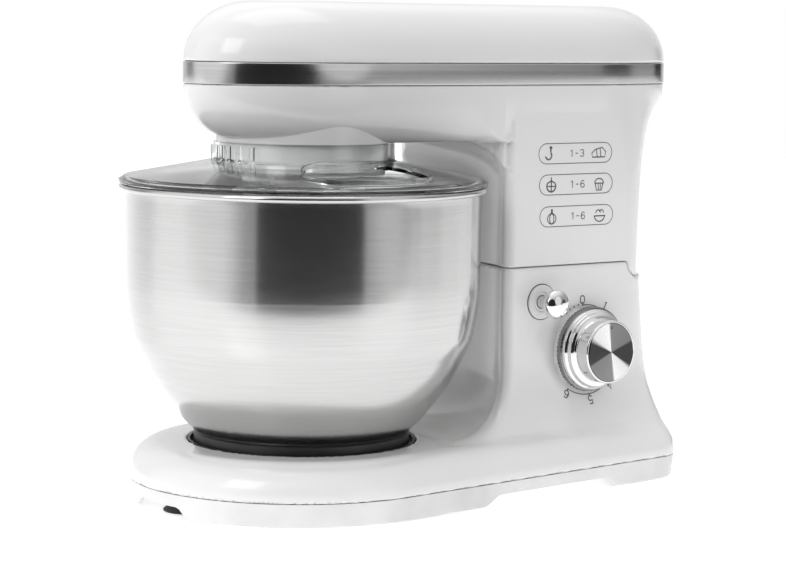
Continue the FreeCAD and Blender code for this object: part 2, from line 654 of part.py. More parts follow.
def make_hub_collar():
    """White collar under the head that carries the ring gear and the lid."""
    skirt = tube_z(HUB_R, HUB_NECK_R - 1.0, HEAD_BOTTOM_Z + 0.2, 252.0).cut(lower_pod(-0.1))
    keep = rod_z(HUB_R + 1, 200, 251)
    skirt = skirt.common(keep)
    solids = sorted(skirt.Solids, key=lambda s: s.BoundBox.ZMin)
    neck = tube_z(HUB_NECK_R, RING_OUTER_R + 0.2, 208.0, CHASSIS_Z1)
    flange = tube_z(RING_OUTER_R + 1, 44.0, 225.0, 228.0)
    collar = join([solids[0], neck, flange])
    lugs = []
    for n in range(3):
        lug = tube_z(LID_COLLAR_RI - 0.35, HUB_NECK_R - 0.5, 210.6, 212.0)
        lugs.append(lug.common(sector(70, 10.0, 60 + 120 * n, 205, 230)))
    return join([collar] + lugs)


def make_ring_gear():
    pitch_r = RING_MODULE * RING_TEETH / 2.0
    wire = gear_wire(RING_TEETH, RING_MODULE, pitch_r + 1.15 * RING_MODULE,
                     pitch_r - 0.8 * RING_MODULE, 1.0 - RING_SHARE, 213.0)
    space = Part.Face(wire).extrude(Vec(0, 0, 12.0))
    return rod_z(RING_OUTER_R, 213.0, 225.0).cut(space)


def chute_plan(grow, z0, z1):
    """Rounded sector that the feed chute follows."""
    r0 = CHUTE_R0 - grow
    r1 = CHUTE_R1 + grow
    middle = (r0 + r1) / 2.0
    half = math.radians(CHUTE_HALF_ANGLE)
    end_r = (r1 - r0) / 2.0

    def at(radius, angle):
        a = math.radians(CHUTE_ANGLE) + angle
        return Vec(radius * math.cos(a), radius * math.sin(a), z0)

    def cap(angle, way):
        c = at(middle, angle)
        a = math.radians(CHUTE_ANGLE) + angle + way * math.pi / 2
        return Vec(c.x + end_r * math.cos(a), c.y + end_r * math.sin(a), z0)

    end = half - (r1 - r0) / 2.0 / middle * 0.55
    edges = [
        Part.Arc(at(r1, -end), at(r1, 0), at(r1, end)).toShape(),
        Part.Arc(at(r1, end), cap(end, 1), at(r0, end)).toShape(),
        Part.Arc(at(r0, end), at(r0, 0), at(r0, -end)).toShape(),
        Part.Arc(at(r0, -end), cap(-end, -1), at(r1, -end)).toShape(),
    ]
    return Part.Face(Part.Wire(edges)).extrude(Vec(0, 0, z1 - z0))


def lid_cone_z(radius):
    share = (112.0 - radius) / (112.0 - HUB_R)
    return LID_CONE_Z0 + share * (LID_CONE_Z1 - LID_CONE_Z0)


def make_splash_lid():
    """Clear lid: flange on the bowl's bead, low cone, collar round the hub, feed chute."""
    outer_r = LID_COLLAR_RI + LID_T
    top = LID_CONE_Z1
    shell = turned([
        (108.0, LID_Z - 3.5), (110.2, LID_Z - 3.5), (110.2, LID_Z), (LID_R - 0.4, LID_Z),
        (LID_R, LID_Z + 0.6), (LID_R, LID_Z + LID_T), (LID_R - 1.5, LID_Z + LID_T + 0.8),
        (112.0, LID_CONE_Z0), (outer_r + 1.5, top), (outer_r, top + 1.5),
        (outer_r, LID_COLLAR_Z1), (LID_COLLAR_RI, LID_COLLAR_Z1), (LID_COLLAR_RI, 210.2),
        (HUB_NECK_R + 0.4, 210.2), (HUB_NECK_R + 0.4, 208.6), (outer_r, 208.6),
        (outer_r + 1.5, top - LID_T), (110.0, LID_CONE_Z0 - LID_T), (108.0, LID_Z)])
    for n in range(3):
        gap = tube_z(LID_COLLAR_RI, HUB_NECK_R, 208.0, 210.3)
        shell = shell.cut(gap.common(sector(70, 14.0, 80 + 120 * n, 200, 215)))
    band = turned([
        (HUB_R + 2.5, lid_cone_z(HUB_R + 2.5) - 6.0), (109.0, lid_cone_z(109.0) - 4.6),
        (109.0, lid_cone_z(109.0) + 2.6), (HUB_R + 2.5, lid_cone_z(HUB_R + 2.5) + 3.4)])
    walls = chute_plan(CHUTE_WALL, 190, 225).common(band)
    ribs = []
    for degrees in LID_RIB_DEG:
        rib = tube_z(outer_r + 3.2, outer_r - 0.5, top - 1, LID_COLLAR_Z1 - 1.5)
        ribs.append(rib.common(sector(70, 2.2, degrees, 205, 230)))
    lid = join([shell, walls] + ribs)
    return lid.cut(chute_plan(0.0, 185, 235))


# ======================= bowl =======================


def make_mixing_bowl():
    """Spun steel bowl: a straight upper wall, a round lower wall, a flat floor, a rolled bead."""
    def skin(inset):
        points = [Vec(r - inset, 0, z) for r, z in BOWL_PROFILE]
        points[-1] = Vec(BOWL_PROFILE[-1][0] - inset, 0, BOWL_FLOOR_Z + inset)
        curve = Part.BSplineCurve()
        curve.interpolate(points)
        top = Vec(BOWL_R - inset, 0, BOWL_BEAD_Z)
        floor_z = BOWL_FLOOR_Z + inset
        edges = [
            Part.makeLine(top, points[0]),
            curve.toShape(),
            Part.makeLine(points[-1], Vec(0, 0, floor_z)),
            Part.makeLine(Vec(0, 0, floor_z), Vec(0, 0, BOWL_BEAD_Z)),
            Part.makeLine(Vec(0, 0, BOWL_BEAD_Z), top),
        ]
        return Part.Face(Part.Wire(edges)).revolve(Vec(0, 0, 0), Z_DIR, 360)

    shell = skin(0.0).cut(skin(BOWL_WALL))
    bead = Part.makeTorus(BOWL_R + BOWL_BEAD_R - BOWL_WALL / 2, BOWL_BEAD_R, Vec(0, 0, BOWL_BEAD_Z))
    shell = shell.fuse(bead)
    return shell.removeSplitter()


def make_bowl_foot_ring():
    """Black ring under the bowl, with three inward lugs that turn under the seat's tabs."""
    top = BOWL_FLOOR_Z
    ring = turned([(64.0, BOWL_FOOT_Z0), (BOWL_FOOT_R, BOWL_FOOT_Z0), (BOWL_FOOT_R, top - 1.0),
                   (66.5, top), (62.5, top), (62.5, top - 2.0), (64.0, top - 2.0)])
    lugs = []
    for n in range(3):
        lug = tube_z(64.5, 59.4, BOWL_FOOT_Z0, 39.6)
        lugs.append(lug.common(sector(80, 16.0, 120 * n, 30, 45)))
    return join([ring] + lugs)


# ======================= motor and drive =======================


def make_stator():
    core = tube_x(MOTOR_R, ROTOR_R + 0.6, STATOR_X0, STATOR_X1, 0, MOTOR_Z)
    for side in (-1, 1):
        window = box(STATOR_X0 - 1, STATOR_X1 + 1, -14, 14,
                     MOTOR_Z + (20.5 if side > 0 else -28.5), MOTOR_Z + (28.5 if side > 0 else -20.5))
        core = core.cut(window)
    return core


def make_field_coils():
    coils = []
    for side in (-1, 1):
        z0 = MOTOR_Z + (21.0 if side > 0 else -28.0)
        outer = box(STATOR_X0 - 5, STATOR_X1 + 5, -13.5, 13.5, z0, z0 + 7)
        inner = box(STATOR_X0 + 3, STATOR_X1 - 3, -6, 6, z0 - 1, z0 + 8)
        coils.append(outer.makeFillet(2.0, outer.Edges[:4]).cut(inner))
    return Part.makeCompound(coils)


def make_armature():
    core = rod_x(ROTOR_R, STATOR_X0 + 1, STATOR_X1 - 1, 0, MOTOR_Z)
    for n in range(12):
        slot = box(STATOR_X0, STATOR_X1, -1.3, 1.3, MOTOR_Z + 14.5, MOTOR_Z + 21)
        slot.rotate(Vec(0, 0, MOTOR_Z), X_DIR, 30 * n)
        core = core.cut(slot)
    return core.cut(rod_x(MOTOR_SHAFT_R, 90, 160, 0, MOTOR_Z))


def make_armature_windings():
    ends = []
    for x0, x1 in ((STATOR_X0 - 7, STATOR_X0 + 0.9), (STATOR_X1 - 0.9, STATOR_X1 + 7)):
        ring = tube_x(16.0, MOTOR_SHAFT_R + 0.02, x0, x1, 0, MOTOR_Z)
        ends.append(ring.makeFillet(2.5, [e for e in ring.Edges if e.Length > 90]))
    return Part.makeCompound(ends)


def make_commutator():
    body = tube_x(10.5, MOTOR_SHAFT_R + 0.02, 158.0, 172.0, 0, MOTOR_Z)
    for n in range(24):
        slot = box(159.5, 173, -0.3, 0.3, MOTOR_Z + 9.6, MOTOR_Z + 12)
        slot.rotate(Vec(0, 0, MOTOR_Z), X_DIR, 15 * n)
        body = body.cut(slot)
    return body


def make_cooling_fan():
    disc = tube_x(27.0, MOTOR_SHAFT_R + 0.02, FAN_X, FAN_X + 2, 0, MOTOR_Z)
    hub = tube_x(8.0, MOTOR_SHAFT_R + 0.02, FAN_X, FAN_X + 12, 0, MOTOR_Z)
    blades = []
    for n in range(11):
        blade = box(FAN_X + 1.5, FAN_X + 11, -0.8, 0.8, MOTOR_Z + 7.5, MOTOR_Z + 27)
        blade.rotate(Vec(0, 0, MOTOR_Z), X_DIR, 360.0 / 11 * n)
        blades.append(blade)
    return join([disc, hub] + blades)


def make_worm_shaft():
    """Motor shaft with the worm cut on its front end."""
    shaft = rod_x(MOTOR_SHAFT_R, 8.0, 206.0, 0, MOTOR_Z)
    core = rod_x(WORM_R - 1.35 * WORM_MODULE, WORM_X0 - 1, WORM_X1 + 1, 0, MOTOR_Z)
    pitch = math.pi * WORM_MODULE
    root = WORM_R - 1.4 * WORM_MODULE
    tip = WORM_R + 0.85 * WORM_MODULE
    helix = Part.makeHelix(pitch, WORM_X1 - WORM_X0 - pitch, WORM_R)
    half_root = pitch * 0.33
    half_tip = pitch * 0.10
    profile = Part.makePolygon([Vec(root, 0, -half_root), Vec(tip, 0, -half_tip),
                                Vec(tip, 0, half_tip), Vec(root, 0, half_root),
                                Vec(root, 0, -half_root)])
    thread = Part.Wire(helix).makePipeShell([profile], True, True)
    thread.translate(Vec(0, 0, pitch / 2))
    thread.rotate(Vec(0, 0, 0), Y_DIR, 90)
    thread.translate(Vec(WORM_X0, 0, MOTOR_Z))
    return shaft.fuse(core).fuse(thread)


def make_worm_wheel():
    """Bronze-coloured wheel with teeth slanted to the worm's lead."""
    teeth = WORM_WHEEL_TEETH
    face = 8.0
    lead = math.degrees(math.atan(math.pi * WORM_MODULE / (2 * math.pi * WORM_R)))
    twist = math.tan(math.radians(lead)) * face / WHEEL_R
    wires = []
    for n in range(3):
        share = n / 2.0 - 0.5
        wires.append(gear_wire(teeth, WORM_MODULE, WHEEL_R + 0.6 * WORM_MODULE,
                               WHEEL_R - 1.2 * WORM_MODULE, 0.36, MOTOR_Z + share * face,
                               math.pi / 2 + math.pi / teeth + twist * share))
    wheel = Part.makeLoft(wires, True, True)
    wheel = wheel.cut(rod_z(4.02, MOTOR_Z - 10, MOTOR_Z + 10))
    wheel.translate(Vec(LAY_X, LAY_Y, 0))
    return wheel


def place_lay(shape):
    shape.translate(Vec(LAY_X, LAY_Y, 0))
    return shape


def make_lay_shaft():
    shaft = rod_z(4.0, 240.8, 281.0)
    return place_lay(shaft)


def make_lay_pinion():
    angle = math.atan2(-LAY_Y, -LAY_X)
    gear = spur(PINION_TEETH, SPUR_MODULE, 248.5, 258.5, 4.02, angle)
    return place_lay(gear)


def make_spur_gear():
    angle = math.atan2(LAY_Y, LAY_X) + math.pi / SPUR_TEETH
    gear = spur(SPUR_TEETH, SPUR_MODULE, 249.5, 257.5, DRIVE_SHAFT_R + 0.02, angle)
    for n in range(6):
        a = math.radians(60 * n + 15)
        gear = gear.cut(rod_z(7.0, 240, 260, 22 * math.cos(a), 22 * math.sin(a)))
    return gear


def make_drive_shaft():
    shaft = rod_z(DRIVE_SHAFT_R, 206.0, 264.5)
    collar = rod_z(DRIVE_SHAFT_R + 2, 245.0, 249.3)
    return join([shaft, collar])


def make_planet_carrier():
    """Disc that carries the beater spindle round the ring gear."""
    disc = rod_z(49.2, 205.0, 209.5)
    disc = disc.cut(tube_z(44.0, 16.0, 208.0, 210.0))
    boss = rod_z(11.0, 205.0, 212.6, -PLANET_OFFSET, 0)
    nose = rod_z(10.0, 198.0, 206.0, -PLANET_OFFSET, 0)
    centre = rod_z(13.0, 205.0, 212.6)
    web = box(-PLANET_OFFSET, 0, -3, 3, 205, 212.0)
    carrier = join([disc, boss, nose, centre, web])
    carrier = carrier.cut(rod_z(DRIVE_SHAFT_R + 0.02, 200, 240).cut(rod_z(20, 190, 206.0)))
    return carrier.cut(rod_z(5.0 + SHAFT_FIT, 190, 240, -PLANET_OFFSET, 0))


def make_planet_pinion():
    gear = spur(PLANET_TEETH, RING_MODULE, 214.0, 223.0, 5.02, math.pi)
    gear.translate(Vec(-PLANET_OFFSET, 0, 0))
    return gear


def make_beater_spindle():
    spindle = rod_z(5.0, SPINDLE_Z0, 224.2, -PLANET_OFFSET, 0)
    shoulder = rod_z(8.0, 195.6, 197.6, -PLANET_OFFSET, 0)
    return join([spindle, shoulder]).cut(rod_y(1.5, -20, 20, -PLANET_OFFSET, 182.0))


def make_flat_beater():
    """Cast flat beater: an open frame with a middle bar and cross bars, on a tubular hub."""
    def frame(inset, z_low, z_high):
        half_top = 52.0 - inset
        half_low = 26.0 - inset * 0.6
        z_mid = 128.0
        low = Vec(0, 0, z_low)
        points = [Vec(-half_top, 0, z_mid), Vec(-half_low - 12, 0, z_low + 18), low,
                  Vec(half_low + 12, 0, z_low + 18), Vec(half_top, 0, z_mid)]
        lower = Part.BSplineCurve()
        lower.interpolate(points)
        upper = Part.Arc(Vec(half_top, 0, z_mid), Vec(0, 0, z_high), Vec(-half_top, 0, z_mid))
        face = Part.Face(Part.Wire([lower.toShape(), upper.toShape()]))
        face.translate(Vec(0, -BEATER_T / 2, 0))
        return face.extrude(Vec(0, BEATER_T, 0))

    outer = frame(0.0, 54.0, 168.0)
    inner = frame(BEATER_RIM, 54.0 + BEATER_RIM, 168.0 - BEATER_RIM)
    bars = [box(-4.5, 4.5, -BEATER_T / 2, BEATER_T / 2, 60, 162)]
    for z, drop in ((92.0, 10.0), (120.0, 10.0)):
        for side in (-1, 1):
            bar = box(0, side * 60 if side > 0 else 60, -BEATER_T / 2, BEATER_T / 2, -3.5, 3.5)
            if side < 0:
                bar.rotate(Vec(0, 0, 0), Z_DIR, 180)
            bar.rotate(Vec(0, 0, 0), Y_DIR, -side * drop)
            bar.translate(Vec(0, 0, z))
            bars.append(bar)
    inside = join(bars).common(outer)
    body = join([outer.cut(inner), inside])
    hub = rod_z(9.5, 158.0, 195.4)
    body = join([body, hub])
    body = body.cut(rod_z(5.0 + 0.15, SPINDLE_Z0 - 0.5, 200))
    slot = box(-20, 20, -1.75, 1.75, 180.3, 183.7)
    slot.rotate(Vec(0, 0, 0), Z_DIR, 90)
    entry = box(-1.9, 1.9, -20, 20, 180.3, 200)
    entry.rotate(Vec(0, 0, 0), Z_DIR, 45)
    body = body.cut(slot).cut(entry)
    body.translate(Vec(-PLANET_OFFSET, 0, 0))
    return body


def make_gearbox_frame():
    """Cast lower half of the gearbox, with bosses for the drive shaft and the lay shaft."""
    space = lower_pod(WALL + 1.0)
    plate = box(-60, 76, -46, 46, CHASSIS_Z1, CHASSIS_Z1 + 4).common(space)
    boss = rod_z(16.0, 226.5, CHASSIS_Z1 + 4)
    lay = rod_z(9.0, CHASSIS_Z1, CHASSIS_Z1 + 7, LAY_X, LAY_Y)
    pillars = []
    for x, y in GEARBOX_PILLARS:
        pillars.append(rod_z(4.5, CHASSIS_Z1, 259.8, x, y))
    frame = join([plate, boss, lay] + pillars)
    frame = frame.cut(rod_z(10.0, 220, 260))
    frame = frame.cut(rod_z(6.5, CHASSIS_Z1 + 3, 260, LAY_X, LAY_Y))
    for x, y in GEARBOX_PILLARS:
        frame = frame.cut(rod_z(SCREW_BORE_R, 250, 262, x, y))
    return frame


def make_gearbox_cover():
    """Upper half of the gearbox: a plate with the top bearings and the worm's front bearing."""
    plate = box(-50, 72, -54, 46, 260.0, 263.0)
    inside = Part.Face(pill_wire(250, WALL + 1, WALL + 1)).extrude(Vec(0, 0, 40))
    plate = plate.common(inside)
    front = box(8, 18, -12, 12, 262, 282)
    bridge = box(LAY_X - 9, LAY_X + 9, LAY_Y - 26, LAY_Y + 8, 278, 283)
    leg = box(LAY_X - 9, LAY_X + 9, LAY_Y - 26, LAY_Y - 23, 262, 283)
    cover = join([plate, front, bridge, leg])
    cover = cover.cut(rod_z(10.0, 255, 264.0))
    cover = cover.cut(rod_z(7.5, 255, 268, LAY_X, LAY_Y))
    cover = cover.cut(rod_x(MOTOR_SHAFT_R + 2.5 + 0.02, 0, 30, 0, MOTOR_Z))
    cover = cover.cut(rod_z(6.5, 277, 290, LAY_X, LAY_Y))
    cover = cover.cut(rod_x(WORM_R + 2.0, WORM_X0 - 4, WORM_X1 + 4, 0, MOTOR_Z))
    for x, y in GEARBOX_PILLARS:
        cover = cover.cut(rod_z(1.8, 250, 270, x, y))
    return cover


def make_bushes():
    """Plain bearings: drive shaft low and high, lay shaft low and high, worm shaft front."""
    drive_low = tube_z(9.98, DRIVE_SHAFT_R + SHAFT_FIT, 227.0, 244.8)
    drive_high = tube_z(9.98, DRIVE_SHAFT_R + SHAFT_FIT, 259.0, 263.0)
    lay_low = tube_z(6.48, 4.0 + SHAFT_FIT, CHASSIS_Z1 + 3, CHASSIS_Z1 + 7.5, LAY_X, LAY_Y)
    lay_high = tube_z(6.48, 4.0 + SHAFT_FIT, 278.0, 283.0, LAY_X, LAY_Y)
    worm_front = tube_x(MOTOR_SHAFT_R + 2.5, MOTOR_SHAFT_R + SHAFT_FIT, 8.0, 18.0, 0, MOTOR_Z)
    return Part.makeCompound([drive_low, drive_high, lay_low, lay_high, worm_front])


def make_chassis_plate():
    plate = box(66, 205, -24, 24, CHASSIS_Z0, CHASSIS_Z1)
    wings = box(184, 196, -30, 30, CHASSIS_Z0, CHASSIS_Z1)
    plate = join([plate, wings])
    for x, y in POST_PLACES:
        plate = plate.cut(rod_z(1.8, 220, 250, x, y))
    for x, side in LEDGE_PLACES:
        plate = plate.cut(rod_z(1.8, 220, 250, x, side * 26))
    return plate.cut(box(118, 140, -12, 12, 220, 250))


def make_motor_bracket(x0, x1, bearing_r):
    """End bracket of the motor: a bridge with a bearing seat and two feet on the chassis."""
    bridge = box(x0, x1, -MOTOR_R, MOTOR_R, MOTOR_Z - 8, MOTOR_Z + 8)
    ring = rod_x(bearing_r + 3, x0, x1, 0, MOTOR_Z)
    feet = []
    for side in (-1, 1):
        y0 = min(side * 18, side * 24)
        y1 = max(side * 18, side * 24)
        feet.append(box(x0, x1, y0, y1, CHASSIS_Z1, MOTOR_Z))
    bracket = join([bridge, ring] + feet)
    return bracket.cut(rod_x(bearing_r, x0 - 1, x1 + 1, 0, MOTOR_Z))


def make_motor_bearings():
    bearings = []
    for x0 in (78.0, 176.5):
        ring = tube_x(BALL_R - 0.02, MOTOR_SHAFT_R + SHAFT_FIT, x0, x0 + 6, 0, MOTOR_Z)
        groove = tube_x(8.6, 6.2, x0 - 1, x0 + 0.8, 0, MOTOR_Z)
        bearings.append(ring.cut(groove))
    return Part.makeCompound(bearings)


def make_brush_holders():
    holders = []
    for side in (-1, 1):
        outer = box(160, 170, min(side * 11.6, side * 28), max(side * 11.6, side * 28),
                    MOTOR_Z - 5, MOTOR_Z + 5)
        inner = box(161.5, 168.5, min(side * 11, side * 26), max(side * 11, side * 26),
                    MOTOR_Z - 3.5, MOTOR_Z + 3.5)
        holders.append(outer.cut(inner))
    arm = [box(160, 176.4, min(side * 28, side * 31), max(side * 28, side * 31),
               MOTOR_Z - 5, MOTOR_Z + 5) for side in (-1, 1)]
    return Part.makeCompound([join([h, a]) for h, a in zip(holders, arm)])


def make_carbon_brushes():
    brushes = []
    for side in (-1, 1):
        y0 = min(side * 10.8, side * 20)
        y1 = max(side * 10.8, side * 20)
        brushes.append(box(161.7, 168.3, y0, y1, MOTOR_Z - 3.3, MOTOR_Z + 3.3))
    return Part.makeCompound(brushes)


def make_latch_catch():
    """Steel hook that hangs from the head and drops through the seam into the base."""
    plate = box(154.5, 157.5, -7, 7, 119, CHASSIS_Z0)
    flange = box(142, 157.5, -7, 7, CHASSIS_Z0 - 3, CHASSIS_Z0)
    catch = join([plate, flange])
    return catch.cut(box(150, 160, -4.5, 4.5, 124, 132))


# ======================= controls =======================

def make_lock_escutcheon():
    wall = -COLUMN_HALF_W
    ring = turned_y([(6.6, wall - 0.6), (10.0, wall - 0.6), (11.2, wall - 0.9), (11.2, wall - 0.05),
                     (5.5, wall - 0.05), (5.5, wall + 6.0), (4.4, wall + 6.0), (4.4, wall - 0.6)],
                    LOCK_X, LOCK_Z)
    return ring


def make_lock_knob():
    """Mushroom knob on a short stem."""
    y_back = -COLUMN_HALF_W - 8.5
    cap = Part.makeSphere(9.6, Vec(0, 0, 0))
    cap = cap.cut(box(-12, 12, 3.2, 12, -12, 12)).cut(box(-12, 12, -12, -8.8, -12, 12))
    cap.translate(Vec(LOCK_X, y_back - 3.2, LOCK_Z))
    stem = rod_y(4.0, y_back - 1, -COLUMN_HALF_W + 3, LOCK_X, LOCK_Z)
    return join([cap, stem])


def make_lock_rod():
    rod = rod_y(3.0, -COLUMN_HALF_W + 3, -4.0, LOCK_X, LOCK_Z)
    flange = rod_y(6.0, -44.0, -42.5, LOCK_X, LOCK_Z)
    bolt = box(LOCK_X, LOCK_X + 3.6, -12, -4, LOCK_Z - 3, LOCK_Z + 3)
    return join([rod, flange, bolt])


def make_lock_guide():
    """Bracket that guides the rod; it stands on the upright frame's top plate."""
    plate = box(LOCK_X - 8, LOCK_X + 8, -30, -27, LOCK_Z - 10, LOCK_Z + 10)
    arm = box(LOCK_X - 8, HINGE_X - 60.5, -30, -27, LOCK_Z - 10, 120.0)
    foot = box(HINGE_X - 66, HINGE_X - 50, -30, -18, 118.0, 120.0)
    return join([plate, arm, foot]).cut(rod_y(3.0 + 0.05, -40, -20, LOCK_X, LOCK_Z))


def coil_spring(wire, coil_r, length, turns):
    """Square-wire helical spring along +Z from the origin."""
    helix = Part.makeHelix(length / turns, length, coil_r)
    half = wire / 2.0
    section = Part.makePolygon([Vec(coil_r - half, 0, -half), Vec(coil_r + half, 0, -half),
                                Vec(coil_r + half, 0, half), Vec(coil_r - half, 0, half),
                                Vec(coil_r - half, 0, -half)])
    return Part.Wire(helix).makePipeShell([section], True, True)


def make_lock_spring():
    spring = coil_spring(0.9, 4.4, 6.0, 4)
    spring.rotate(Vec(0, 0, 0), X_DIR, -90)
    spring.translate(Vec(LOCK_X, -30.0 - 0.6 - 6.0, LOCK_Z))
    return spring


def make_knob_ring():
    """Knurled ring at the back of the speed knob."""
    ring = turned_y([(24.0, KNOB_BACK_Y), (KNOB_SKIRT_R, KNOB_BACK_Y),
                     (KNOB_SKIRT_R, KNOB_BACK_Y - 3.0), (KNOB_SKIRT_R - 1.0, KNOB_BACK_Y - 4.0),
                     (24.0, KNOB_BACK_Y - 4.0)], KNOB_X, KNOB_Z)
    notches = []
    for n in range(60):
        notch = box(KNOB_SKIRT_R - 0.5, KNOB_SKIRT_R + 1, KNOB_BACK_Y - 3, KNOB_BACK_Y + 1, -0.6, 0.6)
        notch.rotate(Vec(0, 0, 0), Y_DIR, 6 * n)
        notch.translate(Vec(KNOB_X, 0, KNOB_Z))
        notches.append(notch)
    return ring.cut(Part.makeCompound(notches))


def make_knob_body():
    """Stepped plated body of the speed knob, hollow, with a boss for the switch shaft."""
    back = KNOB_BACK_Y
    body = turned_y([(3.0, back - 1.0), (8.0, back - 1.0), (8.0, back - 14.0), (18.6, back - 14.0),
                     (21.0, back - 6.0), (21.0, back - 1.0), (23.98, back - 1.0),
                     (23.98, back - 4.0), (26.4, back - 4.0), (26.0, back - 6.0),
                     (24.4, back - 7.0), (23.8, back - 9.4), (22.0, back - 10.6),
                     (KNOB_GRIP_R, back - 11.2), (KNOB_GRIP_R, KNOB_FACE_Y + 1.2),
                     (KNOB_GRIP_R - 0.6, KNOB_FACE_Y + 0.6), (KNOB_GRIP_R - 1.4, KNOB_FACE_Y + 0.6),
                     (KNOB_GRIP_R - 1.4, KNOB_FACE_Y + 1.6), (3.0, KNOB_FACE_Y + 1.6)],
                    KNOB_X, KNOB_Z)
    return body


def make_knob_face():
    """Spun metal disc on the knob's front, with a small dimple that points to the dial."""
    disc = turned_y([(0, KNOB_FACE_Y), (KNOB_GRIP_R - 1.9, KNOB_FACE_Y),
                     (KNOB_GRIP_R - 1.5, KNOB_FACE_Y + 0.4), (KNOB_GRIP_R - 1.5, KNOB_FACE_Y + 1.55),
                     (0, KNOB_FACE_Y + 1.55)], KNOB_X, KNOB_Z)
    return disc.cut(Part.makeSphere(1.2, Vec(KNOB_X, KNOB_FACE_Y - 0.4, KNOB_Z + 16.2)))


def make_switch_shaft():
    shaft = rod_y(2.98, KNOB_FACE_Y + 1.7, -46.0, KNOB_X, KNOB_Z)
    wiper = rod_y(9.0, -46.2, -44.0, KNOB_X, KNOB_Z)
    return join([shaft, wiper])


def make_speed_switch():
    """Rotary switch body behind the dial."""
    body = box(KNOB_X - 15, KNOB_X + 15, -52, -36, KNOB_Z - 15, KNOB_Z + 15)
    body = body.cut(rod_y(9.6, -47.0, -43.2, KNOB_X, KNOB_Z))
    neck = rod_y(6.0, -DIAL_NECK, -51.5, KNOB_X, KNOB_Z)
    body = join([body, neck])
    tabs = [box(KNOB_X - 12 + 9 * n, KNOB_X - 8 + 9 * n, -36, -33.6, KNOB_Z - 3, KNOB_Z - 2.2)
            for n in range(3)]
    body = join([body] + tabs)
    return body.cut(rod_y(3.0 + SHAFT_FIT, -80, -43, KNOB_X, KNOB_Z))


def make_control_board():
    board_y = -43.4
    board = box(150, 214, board_y - 1.6, board_y, 22, 70)
    parts = [board]
    for x, z, w, h, d in ((160, 40, 12, 16, 12), (178, 34, 16, 10, 8), (202, 60, 8, 8, 9),
                          (176, 60, 14, 9, 6)):
        parts.append(box(x - w / 2, x + w / 2, board_y - 0.2, board_y + d, z - h / 2, z + h / 2))
    for n in range(5):
        parts.append(box(190 + 3.2 * n, 191.2 + 3.2 * n, board_y - 0.2, board_y + 9, 26, 46))
    return join(parts)


def make_cord_inlet():
    """Round bushing in the rear wall, with the bore that the supply lead enters by."""
    outer = rod_x(INLET_R, INLET_X - 18.0, INLET_X + 2.0, 0, INLET_Z)
    flange = rod_x(INLET_FLANGE_R, INLET_X + 0.05, INLET_X + 3.0, 0, INLET_Z)
    nut = rod_x(INLET_FLANGE_R, INLET_X - 16.0, INLET_X - 12.1, 0, INLET_Z)
    body = join([outer, flange, nut])
    return body.cut(rod_x(INLET_BORE_R, 220, 280, 0, INLET_Z))


def make_terminal_block():
    block = box(214, 232, -16, 16, TRAY_FLOOR_Z + 3.2, 24)
    for n in range(3):
        block = block.cut(rod_z(2.2, 16, 30, 223, -10 + 10 * n))
    return block


def make_interlock_switch():
    """Microswitch that only lets the motor run while the head is down."""
    body = box(165, 184, 13, 22, 118.0, 129)
    button = rod_z(1.2, 128, 131, 170, 17.5)
    lever = box(166, 184, 15.5, 19.5, 131, 131.5)
    post = box(182.5, 184, 15.5, 19.5, 128, 131.4)
    return join([body, button, lever, post])


# ======================= build =======================

